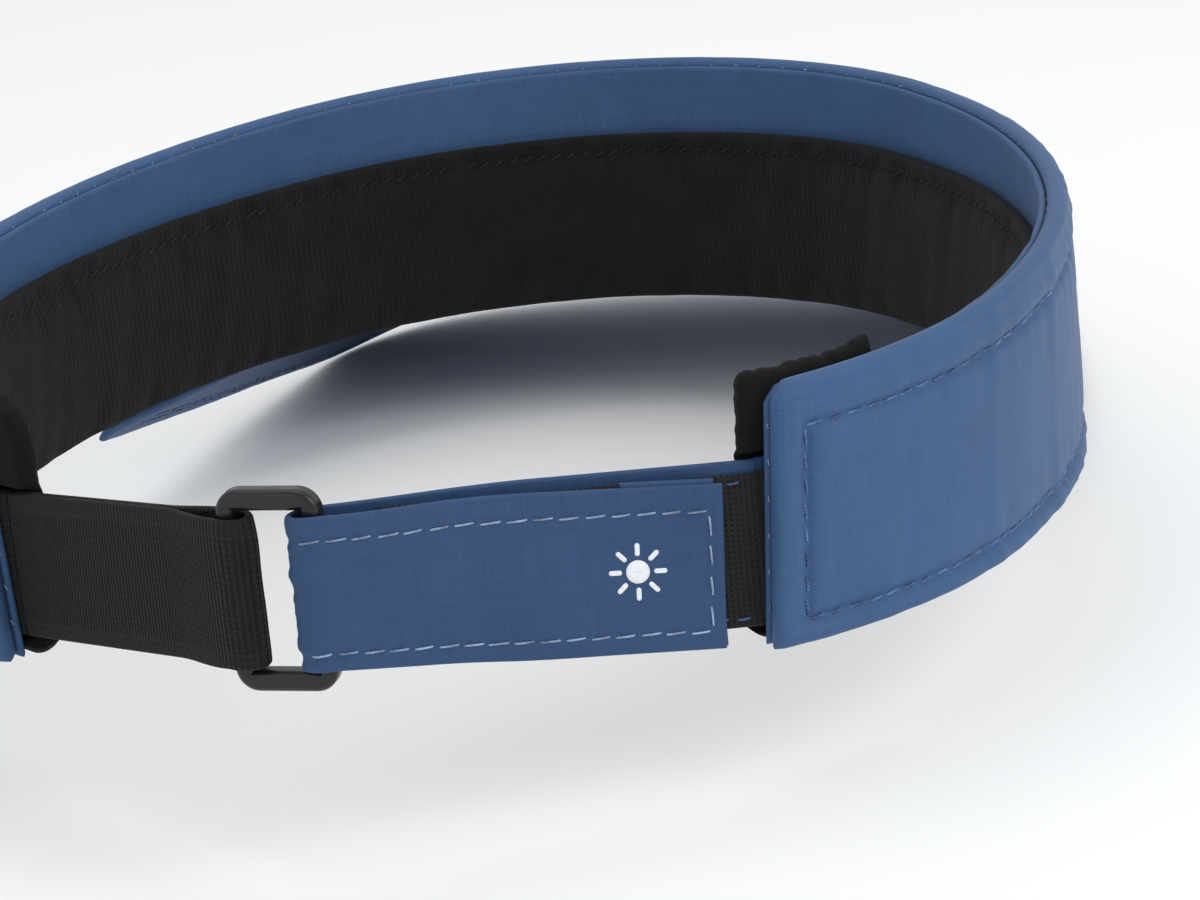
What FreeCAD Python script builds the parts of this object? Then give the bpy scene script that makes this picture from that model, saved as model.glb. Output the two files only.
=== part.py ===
"""Sun visor: a padded fabric band open at the back, a curved fabric-covered brim, and a closure of
elastic webbing, a rectangular ring and a fabric strap whose end folds back as a hook-and-loop tab.

Millimetres. The wearer faces -Y, the wearer's left is +X and +Z is up. The origin is the centre of
the head opening, level with the band's bottom edge.

In plan the band's outer face is five tangent arcs: a rear, a side, the front, a side and a rear arc.
Every layer of the band is the same outline at a depth below the outer face, so its arcs keep the
same centres. A heading is the direction of the outline, in degrees from the line across the back of
the head: it is end_heading at the band's ends and 180 at the middle of the front.
"""

import FreeCAD, Part
import math
import os
import Sketcher

from FreeCAD import Placement, Rotation, Vector

DRIVING_SIZES = [
    # Band outline in plan, outer face.
    ("rear_radius", 68.0),
    ("side_radius", 123.0),
    ("front_radius", 70.0),
    ("end_heading", 34.6),
    ("side_heading", 75.6),
    ("front_heading", 131.6),
    ("end_line", 75.0),
    # Band height: at the rear ends, and its rise per millimetre towards the front.
    ("end_height", 34.8),
    ("top_rise", 0.028),
    ("end_slant", 3.0),
    # Depths of the band's layers below its outer face.
    ("shell_ply", 1.2),
    ("lining_depth", 3.0),
    ("lining_ply", 1.2),
    ("lining_drop", 1.0),
    ("hem_width", 5.5),
    ("foam_end_heading", 39.6),
    # Sweatband, inside the lining from one end pad to the other.
    ("sweatband_ply", 2.4),
    ("sweatband_height", 28.0),
    ("sweatband_end_heading", 53.8),
    # End pads, behind the band's two ends. An overhang is how far a pad reaches past its end, and
    # the channel's turn how far round the band it reaches, both in degrees.
    ("pad_depth", 7.8),
    ("pad_channel_depth", 6.6),
    ("pad_channel_margin", 1.0),
    ("pad_channel_turn", 16.0),
    ("left_pad_overhang", 4.0),
    ("right_pad_overhang", 0.5),
    ("pad_front_heading", 53.3),
    ("pad_height", 35.3),
    ("pad_corner", 4.5),
    # Brim: a tilted cylinder shell cut to an outline in plan.
    ("brim_radius", 143.0),
    ("brim_tilt", 12.5),
    ("brim_seat", 7.4),
    ("brim_cover", 0.6),
    ("brim_board", 1.6),
    ("brim_front_line", 167.5),
    ("brim_front_radius", 105.0),
    ("brim_front_turn", 23.0),
    ("brim_corner_radius", 44.0),
    ("brim_corner_turn", 82.0),
    ("brim_end_heading", 109.0),
    ("board_end_heading", 112.5),
    ("board_edge_gap", 0.8),
    ("board_end_reach", 1.1),
    # Strap: its root at the right band end, then the bar of the ring that it folds round.
    ("strap_angle", 30.4),
    ("strap_reach", 56.45),
    ("strap_width", 22.0),
    ("strap_neck", 19.6),
    ("strap_ply", 0.8),
    ("strap_root_level", 13.3),
    ("tape_ply", 0.8),
    ("tape_width", 20.0),
    ("tape_length", 48.0),
    ("fold_radius", 1.85),
    ("anchor_length", 18.0),
    ("root_gap", 0.4),
    # Tab: the strap's end, lying on the loop tape.
    ("tab_tip", 4.9),
    ("tab_tip_level", -1.5),
    ("tab_lift_start", 45.0),
    ("tab_lift_end", 54.0),
    ("neck_start", 50.0),
    ("neck_end", 52.5),
    ("tab_gap", 0.05),
    # Ring.
    ("ring_level", 19.15),
    ("ring_angle", -3.4),
    ("ring_pitch", 11.0),
    ("ring_bar", 2.4),
    ("ring_depth", 3.0),
    ("ring_window", 20.8),
    ("ring_height", 26.2),
    ("ring_corner", 3.0),
    ("ring_round", 0.9),
    # Webbing, doubled round the ring's left bar.
    ("webbing_angle", -36.7),
    ("webbing_reach", 49.8),
    ("webbing_width", 20.0),
    ("webbing_ply", 1.1),
    ("webbing_eye", 1.75),
    ("webbing_join", 14.0),
    ("webbing_root_level", 12.7),
    # Stitching and printed marks.
    ("stitch_pitch", 3.1),
    ("stitch_length", 2.4),
    ("stitch_radius", 0.2),
    ("stitch_top_inset", 3.5),
    ("stitch_bottom_inset", 2.5),
    ("stitch_tip_inset", 1.8),
    ("mark_ply", 0.15),
    ("mark_place", 16.4),
    ("sun_disc", 1.5),
    ("ray_start", 2.3),
    ("ray_end", 3.8),
    ("ray_width", 0.6),
    ("side_mark_heading", 96.0),
    ("side_mark_level", 17.0),
    ("side_mark_height", 6.0),
    ("side_mark_bar", 1.6),
]
FAR = 400.0  # longer than any piece, for cuts that go right through
BLANK_HEIGHT = "60"  # of a piece before it is trimmed to its real height
ABOVE, BELOW = 60.0, -10.0  # levels clear of the band's top and bottom
CLEAR = 40.0  # beyond the top and bottom of a blank centred on its own frame
TOUCH = 0.01  # lengths under this count as none
ORIGIN_POINT = (-1, 1)
VERTICAL_AXIS = -2
START, END, CENTRE = 1, 2, 3

doc = FreeCAD.newDocument("sun_visor")
sheet = doc.addObject("Spreadsheet::Sheet", "Sizes")
for row, (alias, size) in enumerate(DRIVING_SIZES, start=1):
    sheet.set(f"A{row}", alias.replace("_", " "))
    sheet.set(f"B{row}", str(size))
    sheet.setAlias(f"B{row}", alias)
doc.recompute()


def sizes(text):
    """The text as an expression, with each size's name in square brackets pointing at its cell."""
    for alias in sorted((name for name, _ in DRIVING_SIZES), key=len, reverse=True):
        text = text.replace(f"[{alias}]", f"Sizes.{alias}")
    return text


def value(expression):
    """The number that an expression gives."""
    return float(sheet.evalExpression(expression))


# Places worked out from the driving sizes, as expressions.
REAR_CENTRE_X = sizes(
    "(([front_radius] - [side_radius]) * sin([front_heading])"
    " + ([side_radius] - [rear_radius]) * sin([side_heading]))"
)
FRONT_CENTRE_Y = sizes(
    "([end_line] - [rear_radius] * cos([end_heading])"
    " - ([side_radius] - [rear_radius]) * cos([side_heading])"
    " - ([front_radius] - [side_radius]) * cos([front_heading]))"
)
REAR_CENTRE_Y = sizes("([end_line] - [rear_radius] * cos([end_heading]))")
SIDE_CENTRE_X = sizes("(([side_radius] - [front_radius]) * sin([front_heading]))")
SIDE_CENTRE_Y = sizes(f"({FRONT_CENTRE_Y} + ([front_radius] - [side_radius]) * cos([front_heading]))")
END_X = sizes(f"({REAR_CENTRE_X} + [rear_radius] * sin([end_heading]))")
FRONT_Y = sizes(f"({FRONT_CENTRE_Y} - [front_radius])")
INNER_FACE = sizes("([lining_depth] + [lining_ply])")
STRAP_DEPTH = sizes(f"({INNER_FACE} + [tape_ply])")
STRAP_X = sizes(f"(0 - {END_X} + {STRAP_DEPTH} * sin([end_heading]))")
STRAP_Y = sizes(f"([end_line] - {STRAP_DEPTH} * cos([end_heading]))")
STRAP_SLOPE = sizes("(([ring_level] - [strap_root_level]) / [strap_reach])")
RING_X = sizes(f"({STRAP_X} + [strap_reach] * cos([strap_angle]) - [fold_radius] * sin([strap_angle]))")
RING_Y = sizes(f"({STRAP_Y} + [strap_reach] * sin([strap_angle]) + [fold_radius] * cos([strap_angle]))")
WEBBING_X = sizes(f"({RING_X} + [ring_pitch] * cos([ring_angle]))")
WEBBING_Y = sizes(f"({RING_Y} + [ring_pitch] * sin([ring_angle]))")
WEBBING_SLOPE = sizes("(([webbing_root_level] - [ring_level]) / [webbing_reach])")
TAB_FACE = sizes("([tape_ply] * 2 + [tab_gap])")
TAB_SLOPE = sizes("(([ring_level] - [strap_root_level] - [tab_tip_level]) / ([strap_reach] - [tab_tip]))")


# Helpers for sketches and features.


def new_body(name):
    body = doc.addObject("PartDesign::Body", name)
    body.Label = name
    return body


def new_sketch(body, plane, offset=None):
    """A sketch on one of the body's origin planes, moved by offset within that plane's axes."""
    sketch = body.newObject("Sketcher::SketchObject", f"{body.Name}_sketch")
    support = [part for part in body.Origin.OriginFeatures if part.Role == plane][0]
    sketch.AttachmentSupport = [(support, "")]
    sketch.MapMode = "FlatFace"
    if offset:
        sketch.AttachmentOffset = offset
    return sketch


def dimension(sketch, kind, *places, size):
    """A dimension of the sketch that follows an expression."""
    index = sketch.addConstraint(Sketcher.Constraint(kind, *places, value(size)))
    sketch.setExpression(f"Constraints[{index}]", size)


def place_point(sketch, curve, end, x, y):
    dimension(sketch, "DistanceX", *ORIGIN_POINT, curve, end, size=x)
    dimension(sketch, "DistanceY", *ORIGIN_POINT, curve, end, size=y)


def coincide(sketch, first, first_end, second, second_end):
    sketch.addConstraint(Sketcher.Constraint("Coincident", first, first_end, second, second_end))


def polygon(sketch, corners):
    """A closed outline of straight lines through corners, pairs of expressions."""
    points = [Vector(value(x), value(y), 0) for x, y in corners]
    count = len(points)
    lines = [sketch.addGeometry(Part.LineSegment(points[i], points[(i + 1) % count])) for i in range(count)]
    for i, line in enumerate(lines):
        coincide(sketch, line, END, lines[(i + 1) % count], START)
        place_point(sketch, line, START, *corners[i])
    return lines


def arc_chain(sketch, arcs):
    """Tangent arcs, each given as (centre x, centre y, radius, from degrees, to degrees)."""
    chain = []
    for x, y, radius, start, end in arcs:
        circle = Part.Circle(Vector(x, y, 0), Vector(0, 0, 1), radius)
        chain.append(sketch.addGeometry(Part.ArcOfCircle(circle, math.radians(start), math.radians(end))))
    for before, after in zip(chain, chain[1:]):
        sketch.addConstraint(Sketcher.Constraint("Tangent", before, END, after, START))
    return chain


def close_ends(sketch, outer, inner):
    """Straight lines that join the ends of two chains of arcs."""
    corners = [(outer[0], START, inner[0], START), (outer[-1], END, inner[-1], END)]
    for outer_arc, outer_end, inner_arc, inner_end in corners:
        first = sketch.getPoint(outer_arc, outer_end)
        second = sketch.getPoint(inner_arc, inner_end)
        line = sketch.addGeometry(Part.LineSegment(first, second))
        coincide(sketch, line, START, outer_arc, outer_end)
        coincide(sketch, line, END, inner_arc, inner_end)


def pad(body, sketch, length, symmetric=False, reverse=False):
    feature = body.newObject("PartDesign::Pad", f"{body.Name}_pad")
    feature.Profile = sketch
    feature.SideType = "Symmetric" if symmetric else "One side"
    feature.Reversed = reverse
    feature.setExpression("Length", length)
    doc.recompute()
    return feature


def pocket(body, sketch, length=str(FAR), back=None):
    """Cuts both ways from the sketch: evenly, or length one way and back the other."""
    before = body.Shape.Volume
    feature = body.newObject("PartDesign::Pocket", f"{body.Name}_cut")
    feature.Profile = sketch
    feature.SideType = "Two sides" if back else "Symmetric"
    feature.setExpression("Length", length)
    if back:
        feature.setExpression("Length2", back)
    doc.recompute()
    if not body.Shape.Volume < before - 1.0:
        raise RuntimeError(f"{feature.Name} cuts nothing")
    return feature


def mirror_across_middle(body, feature):
    """The feature again on the other side of the plane between the wearer's left and right."""
    mirror = body.newObject("PartDesign::Mirrored", f"{body.Name}_mirror")
    mirror.Originals = [feature]
    middle = [part for part in body.Origin.OriginFeatures if part.Role == "YZ_Plane"][0]
    mirror.MirrorPlane = (middle, [""])
    body.Tip = mirror
    doc.recompute()


def round_edges(body, edges, radius):
    base = body.Tip
    fillet = body.newObject("PartDesign::Fillet", f"{body.Name}_fillet")
    fillet.Base = (base, edges)
    fillet.setExpression("Radius", sizes(radius))
    doc.recompute()


def boolean(kind, name, base, tool):
    result = doc.addObject(kind, name)
    result.Label = name
    result.Base = base
    result.Tool = tool
    doc.recompute()
    return result


def place(thing, x, y, z, angle):
    """Puts a sub-part's own frame into the visor's: a point, and a turn about the vertical."""
    thing.Placement = Placement(Vector(0, 0, 0), Rotation(Vector(0, 0, 1), value(angle)))
    for axis, size in zip("xyz", (x, y, z)):
        thing.setExpression(f"Placement.Base.{axis}", size)
    thing.setExpression("Placement.Rotation.Angle", angle)


# Band.


def band_edge(sketch, depth, end_heading):
    """The band's outline at a depth below its outer face, from the wearer's right end to the left."""
    rear_x, rear_y = value(REAR_CENTRE_X), value(REAR_CENTRE_Y)
    side_x, side_y = value(SIDE_CENTRE_X), value(SIDE_CENTRE_Y)
    radii = [sizes(f"([{name}_radius] - {depth})") for name in ("rear", "side", "front", "side", "rear")]
    end, side, front = (value(sizes(name)) for name in (end_heading, "[side_heading]", "[front_heading]"))
    arcs = arc_chain(
        sketch,
        [
            (-rear_x, rear_y, value(radii[0]), 90 + end, 90 + side),
            (side_x, side_y, value(radii[1]), 90 + side, 90 + front),
            (0, value(FRONT_CENTRE_Y), value(radii[2]), 90 + front, 450 - front),
            (-side_x, side_y, value(radii[3]), 90 - front, 90 - side),
            (rear_x, rear_y, value(radii[4]), 90 - side, 90 - end),
        ],
    )
    for arc, radius in zip(arcs, radii):
        dimension(sketch, "Radius", arc, size=radius)
    place_front_arc(sketch, arcs[2], sizes(f"([front_radius] - {depth}) * sin([front_heading])"))
    junction = sizes(f"{REAR_CENTRE_X} + ([rear_radius] - {depth}) * sin([side_heading])")
    tip = sizes(f"{REAR_CENTRE_X} + ([rear_radius] - {depth}) * sin({end_heading})")
    dimension(sketch, "DistanceX", arcs[0], END, *ORIGIN_POINT, size=junction)
    dimension(sketch, "DistanceX", *ORIGIN_POINT, arcs[4], START, size=junction)
    dimension(sketch, "DistanceX", arcs[0], START, *ORIGIN_POINT, size=tip)
    dimension(sketch, "DistanceX", *ORIGIN_POINT, arcs[4], END, size=tip)
    return arcs


def place_front_arc(sketch, arc, half_width, centre_y=FRONT_CENTRE_Y):
    """Centres the arc on the middle plane, with its ends half_width to each side."""
    sketch.addConstraint(Sketcher.Constraint("PointOnObject", arc, CENTRE, VERTICAL_AXIS))
    dimension(sketch, "DistanceY", *ORIGIN_POINT, arc, CENTRE, size=centre_y)
    dimension(sketch, "DistanceX", arc, START, *ORIGIN_POINT, size=half_width)
    dimension(sketch, "DistanceX", *ORIGIN_POINT, arc, END, size=half_width)


def band_layer(name, outer, inner, height, bottom="0", end_heading="[end_heading]"):
    """A layer of the band, between two depths, upright on its bottom."""
    body = new_body(name)
    plan = new_sketch(body, "XY_Plane")
    plan.setExpression("AttachmentOffset.Base.z", sizes(bottom))
    close_ends(plan, band_edge(plan, outer, end_heading), band_edge(plan, inner, end_heading))
    pad(body, plan, sizes(height))
    return body


def slope_top(body, drop):
    """Cuts the layer's top to the band's sloping top edge, less drop."""
    side = new_sketch(body, "YZ_Plane")
    back, front, roof = 100.0, -120.0, 70.0  # all clear of the band

    def level(y):
        return sizes(f"[end_height] - {drop} + [top_rise] * ([end_line] - {y})")

    corners = [(str(back), level(back)), (str(back), str(roof)), (str(front), str(roof))]
    polygon(side, corners + [(str(front), level(front))])
    pocket(body, side)


def slant_ends(body):
    """Leans the band's ends, so that their bottoms reach further round the head than their tops."""
    turn = Rotation(Vector(0, 1, 0), value(sizes("[end_heading]")))
    base = Vector(-value(END_X), 0, -value(sizes("[end_line]")))
    end_view = new_sketch(body, "XZ_Plane", Placement(base, turn))
    slant = sizes("[end_slant] / [end_height]")
    foot = sizes(f"0 - {slant} * ({BELOW})")
    head = sizes(f"0 - {slant} * {ABOVE}")
    past_end, through_band = "12", "30"
    polygon(
        end_view,
        [(foot, str(BELOW)), (past_end, str(BELOW)), (past_end, str(ABOVE)), (head, str(ABOVE))],
    )
    cut = pocket(body, end_view, through_band)
    mirror_across_middle(body, cut)


def seat_brim(body, lift):
    """Cuts the layer's front from below to the brim's arched upper face, raised by lift."""
    tilt = Rotation(Vector(1, 0, 0), value(sizes("[brim_tilt]")))
    base = Vector(0, value(sizes(f"[brim_seat] + {lift}")), -value(FRONT_Y))
    arch = new_sketch(body, "XZ_Plane", Placement(base, tilt))
    radius = value(sizes("[brim_radius]"))
    disc = arch.addGeometry(Part.Circle(Vector(0, -radius, 0), Vector(0, 0, 1), radius))
    dimension(arch, "Radius", disc, size=sizes("[brim_radius]"))
    arch.addConstraint(Sketcher.Constraint("PointOnObject", disc, CENTRE, VERTICAL_AXIS))
    dimension(arch, "DistanceY", disc, CENTRE, *ORIGIN_POINT, size=sizes("[brim_radius]"))
    backwards, forwards = "75", "30"  # as far as the brim lies under the band
    pocket(body, arch, backwards, forwards)


def build_band():
    foam = band_layer(
        "band_foam", "[shell_ply]", "[lining_depth]", BLANK_HEIGHT, "[hem_width]", "[foam_end_heading]"
    )
    slope_top(foam, "[hem_width]")
    seat_brim(foam, "[hem_width]")

    block = band_layer("shell_block", "0", "[lining_depth]", BLANK_HEIGHT)
    slope_top(block, "0")
    slant_ends(block)
    seat_brim(block, "0")
    shell = boolean("Part::Cut", "band_shell", block, foam)

    lining = band_layer("band_lining", "[lining_depth]", INNER_FACE, BLANK_HEIGHT)
    slope_top(lining, "[lining_drop]")
    slant_ends(lining)

    sweatband = band_layer(
        "sweatband",
        INNER_FACE,
        f"({INNER_FACE} + [sweatband_ply])",
        "[sweatband_height]",
        "0",
        "[sweatband_end_heading]",
    )
    return [foam, shell, lining, sweatband]


def end_sector(body, outer, inner, back_heading, front_heading, bottom, height):
    """A piece that follows the rear arc of the band, built at the wearer's left end."""
    plan = new_sketch(body, "XY_Plane")
    plan.setExpression("AttachmentOffset.Base.z", sizes(bottom))
    rear_x, rear_y = value(REAR_CENTRE_X), value(REAR_CENTRE_Y)
    arcs = []
    for depth in (outer, inner):
        radius = sizes(f"([rear_radius] - {depth})")
        start, end = (90 - value(sizes(text)) for text in (front_heading, back_heading))
        arc = arc_chain(plan, [(rear_x, rear_y, value(radius), start, end)])
        dimension(plan, "Radius", arc[0], size=radius)
        place_point(plan, arc[0], CENTRE, REAR_CENTRE_X, REAR_CENTRE_Y)
        for point, heading in ((START, front_heading), (END, back_heading)):
            reach = sizes(f"{REAR_CENTRE_X} + {radius} * sin({heading})")
            dimension(plan, "DistanceX", *ORIGIN_POINT, arc[0], point, size=reach)
        arcs.append(arc)
    close_ends(plan, arcs[0], arcs[1])
    pad(body, plan, sizes(height))
    return plan


def to_right_end(body, name):
    """The same piece, mirrored to the wearer's right end of the band."""
    mirror = doc.addObject("Part::Mirroring", name)
    mirror.Label = name
    mirror.Source = body
    mirror.Normal = Vector(1, 0, 0)
    doc.recompute()
    return mirror


def end_pad(name, overhang, channel_level, channel_width):
    """A knit pad behind a band end, with a channel on its outer side for what is sewn in there."""
    body = new_body(f"{name}_block")
    back_heading = f"([end_heading] - {overhang})"
    end_sector(body, INNER_FACE, "[pad_depth]", back_heading, "[pad_front_heading]", "0", "[pad_height]")
    corners = [
        f"Edge{i}"
        for i, edge in enumerate(body.Shape.Edges, start=1)
        if edge.Length < value(sizes("[pad_depth]")) and is_lower_back_corner(edge)
    ]
    round_edges(body, corners, "[pad_corner]")
    channel = new_body(f"{name}_channel")
    open_end = 2  # degrees that the cut runs on past the pad
    end_sector(
        channel,
        INNER_FACE,
        "[pad_channel_depth]",
        f"({back_heading} - {open_end})",
        "([end_heading] + [pad_channel_turn])",
        f"{channel_level} - {channel_width} / 2 - [pad_channel_margin]",
        f"{channel_width} + 2 * [pad_channel_margin]",
    )
    return boolean("Part::Cut", name, body, channel)


def is_lower_back_corner(edge):
    """Whether an edge of an end pad crosses its thickness at the bottom of its rear end."""
    middle = edge.CenterOfMass
    rear = value(sizes("[end_line] - [pad_depth] * cos([end_heading])"))
    level, at_bottom = edge.BoundBox.ZLength < TOUCH, middle.z < TOUCH
    return level and at_bottom and middle.y > rear and middle.x < value(END_X)


def build_band_ends():
    left_pad = end_pad("end_pad_left", "[left_pad_overhang]", "[webbing_root_level]", "[webbing_width]")
    right_source = end_pad(
        "right_pad_source", "[right_pad_overhang]", "[strap_root_level]", "[strap_width]"
    )
    right_pad = to_right_end(right_source, "end_pad_right")

    sewn_heading = "([end_heading] + [anchor_length] / [rear_radius] * 180 / pi)"
    webbing_anchor = new_body("webbing_anchor")
    end_sector(
        webbing_anchor,
        INNER_FACE,
        f"({INNER_FACE} + [webbing_ply] * 2)",
        "[end_heading]",
        sewn_heading,
        "[webbing_root_level] - [webbing_width] / 2",
        "[webbing_width]",
    )
    strap_source = new_body("strap_anchor_source")
    end_sector(
        strap_source,
        INNER_FACE,
        f"({INNER_FACE} + [tape_ply] + [strap_ply])",
        "[end_heading]",
        sewn_heading,
        "[strap_root_level] - [strap_width] / 2",
        "[strap_width]",
    )
    return [left_pad, right_pad, webbing_anchor, to_right_end(strap_source, "strap_anchor")]


# Brim.


def brim_plan(name, edge_gap, end_heading, end_reach):
    """An upright block with the brim's outline in plan, its inner edge under the band's shell.

    edge_gap is how far the rim lies inside the brim's own rim, and end_reach is how far outside the
    band's outer face the rim ends.
    """
    plan = doc.addObject("Sketcher::SketchObject", f"{name}_plan")
    front_radius = sizes(f"([brim_front_radius] - {edge_gap})")
    corner_radius = sizes(f"([brim_corner_radius] - {edge_gap})")
    front_centre = sizes("([brim_front_radius] - [brim_front_line])")
    front_turn, corner_turn = (value(sizes(text)) for text in ("[brim_front_turn]", "[brim_corner_turn]"))
    end_x = sizes(f"([side_radius] + {end_reach}) * sin({end_heading}) - {SIDE_CENTRE_X}")
    end_y = sizes(f"{SIDE_CENTRE_Y} + ([side_radius] + {end_reach}) * cos({end_heading})")

    step = value(sizes("[brim_front_radius] - [brim_corner_radius]"))
    corner_x = step * math.sin(math.radians(front_turn))
    corner_y = value(front_centre) - step * math.cos(math.radians(front_turn))
    joint = Vector(
        corner_x + value(corner_radius) * math.sin(math.radians(corner_turn)),
        corner_y - value(corner_radius) * math.cos(math.radians(corner_turn)),
        0,
    )
    inward = Vector(-math.sin(math.radians(corner_turn)), math.cos(math.radians(corner_turn)), 0)
    chord = Vector(value(end_x), value(end_y), 0) - joint
    flank_radius = chord.dot(chord) / (2 * chord.dot(inward))
    flank = joint + inward * flank_radius
    to_end = Vector(value(end_x), value(end_y), 0) - flank
    flank_end = math.degrees(math.atan2(to_end.y, to_end.x))

    rim = arc_chain(
        plan,
        [
            (-flank.x, flank.y, flank_radius, 180 - flank_end, 270 - corner_turn),
            (-corner_x, corner_y, value(corner_radius), 270 - corner_turn, 270 - front_turn),
            (0, value(front_centre), value(front_radius), 270 - front_turn, 270 + front_turn),
            (corner_x, corner_y, value(corner_radius), 270 + front_turn, 270 + corner_turn),
            (flank.x, flank.y, flank_radius, corner_turn - 90, flank_end),
        ],
    )
    dimension(plan, "Radius", rim[1], size=corner_radius)
    dimension(plan, "Radius", rim[2], size=front_radius)
    dimension(plan, "Radius", rim[3], size=corner_radius)
    half_front = sizes(f"{front_radius} * sin([brim_front_turn])")
    place_front_arc(plan, rim[2], half_front, front_centre)
    corner_end = sizes(
        "([brim_front_radius] - [brim_corner_radius]) * sin([brim_front_turn])"
        f" + {corner_radius} * sin([brim_corner_turn])"
    )
    dimension(plan, "DistanceX", rim[1], START, *ORIGIN_POINT, size=corner_end)
    dimension(plan, "DistanceX", *ORIGIN_POINT, rim[3], END, size=corner_end)
    dimension(plan, "DistanceX", rim[0], START, *ORIGIN_POINT, size=end_x)
    dimension(plan, "DistanceX", *ORIGIN_POINT, rim[4], END, size=end_x)
    dimension(plan, "DistanceY", *ORIGIN_POINT, rim[0], START, size=end_y)
    dimension(plan, "DistanceY", *ORIGIN_POINT, rim[4], END, size=end_y)

    heading, front = value(sizes(end_heading)), value(sizes("[front_heading]"))
    side_radius = sizes("([side_radius] - [lining_depth])")
    inner_radius = sizes("([front_radius] - [lining_depth])")
    side_x, side_y = value(SIDE_CENTRE_X), value(SIDE_CENTRE_Y)
    inner = arc_chain(
        plan,
        [
            (side_x, side_y, value(side_radius), 90 + heading, 90 + front),
            (0, value(FRONT_CENTRE_Y), value(inner_radius), 90 + front, 450 - front),
            (-side_x, side_y, value(side_radius), 90 - front, 90 - heading),
        ],
    )
    for arc, radius in zip(inner, (side_radius, inner_radius, side_radius)):
        dimension(plan, "Radius", arc, size=radius)
    place_front_arc(plan, inner[1], sizes(f"{inner_radius} * sin([front_heading])"))
    inner_end = sizes(f"{side_radius} * sin({end_heading}) - {SIDE_CENTRE_X}")
    dimension(plan, "DistanceX", inner[0], START, *ORIGIN_POINT, size=inner_end)
    dimension(plan, "DistanceX", *ORIGIN_POINT, inner[2], END, size=inner_end)
    close_ends(plan, rim, inner)

    block = doc.addObject("Part::Extrusion", name)
    block.Base = plan
    block.DirMode = "Normal"
    block.Solid = True
    block.LengthFwd = ABOVE
    block.LengthRev = ABOVE
    doc.recompute()
    return block


def brim_shell(name, upper, lower):
    """A tilted cylinder shell, between two depths below the brim's upper face."""
    tilt = math.radians(value(sizes("[brim_tilt]")))
    radius = value(sizes("[brim_radius]"))
    seat = Vector(0, value(FRONT_Y), value(sizes("[brim_seat]")))
    half_length = 110.0  # longer than the brim, both ways from the seat
    axis = Vector(0, -math.cos(tilt), -math.sin(tilt))
    base = seat - Vector(0, -math.sin(tilt), math.cos(tilt)) * radius - axis * half_length
    turn = Rotation(Vector(1, 0, 0), 90 + value(sizes("[brim_tilt]")))
    cylinders = []
    for side, depth in (("outer", upper), ("inner", lower)):
        cylinder = doc.addObject("Part::Cylinder", f"{name}_{side}")
        cylinder.setExpression("Radius", sizes(f"[brim_radius] - {depth}"))
        cylinder.Height = 2 * half_length
        cylinder.Placement = Placement(base, turn)
        cylinders.append(cylinder)
    shell = doc.addObject("Part::Cut", name)
    shell.Base = cylinders[0]
    shell.Tool = cylinders[1]
    doc.recompute()
    return shell


def build_brim():
    whole_plan = brim_plan("brim_block", "0", "[brim_end_heading]", "0")
    board_plan = brim_plan("board_block", "[board_edge_gap]", "[board_end_heading]", "[board_end_reach]")
    middle = "([brim_cover] + [brim_board] / 2)"
    bottom = "([brim_cover] * 2 + [brim_board])"
    board_shell = brim_shell("board_shell", "[brim_cover]", "([brim_cover] + [brim_board])")
    board = boolean("Part::Common", "brim_board", board_shell, board_plan)
    covers = []
    for name, upper, lower in (("brim_top_cover", "0", middle), ("brim_bottom_cover", middle, bottom)):
        half = boolean("Part::Common", f"{name}_half", brim_shell(f"{name}_shell", upper, lower), whole_plan)
        covers.append(boolean("Part::Cut", name, half, board))
    return [board, *covers]


# Strap, tab and tapes. Their own frame has x from the strap's root towards the ring, y outwards and z
# up from the middle of the strap's root.


def strap_place(thing):
    place(thing, STRAP_X, STRAP_Y, sizes("[strap_root_level]"), sizes("[strap_angle]"))


def ribbon(name, start, end, low, high, slope, ply, outwards, offset="0"):
    """A flat strip in the strap's frame whose long edges rise with slope."""
    body = new_body(name)
    face = new_sketch(body, "XZ_Plane")
    face.setExpression("AttachmentOffset.Base.z", sizes(f"0 - {offset}"))
    corners = [(sizes(x), sizes(f"{z} + {slope} * {x}")) for x, z in zip((start, end), (low, low))]
    corners += [(sizes(x), sizes(f"{z} + {slope} * {x}")) for x, z in zip((end, start), (high, high))]
    polygon(face, corners)
    pad(body, face, sizes(ply), reverse=outwards)
    strap_place(body)
    return body


def necked_edge(level):
    """Corners along one long edge of the strap, drawn in to the neck beside the ring."""
    wide, narrow = sizes(f"{level} * [strap_width] / 2"), sizes(f"{level} * [strap_neck] / 2")
    return [("[root_gap]", wide), ("[neck_start]", wide), ("[neck_end]", narrow), ("[strap_reach]", narrow)]


def build_leg():
    body = new_body("strap_leg")
    face = new_sketch(body, "XZ_Plane")
    outline = necked_edge("(0 - 1)") + necked_edge("1")[::-1]
    polygon(face, [(sizes(x), sizes(f"{z} + {STRAP_SLOPE} * {x}")) for x, z in outline])
    pad(body, face, sizes("[strap_ply]"))
    strap_place(body)
    return body


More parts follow.
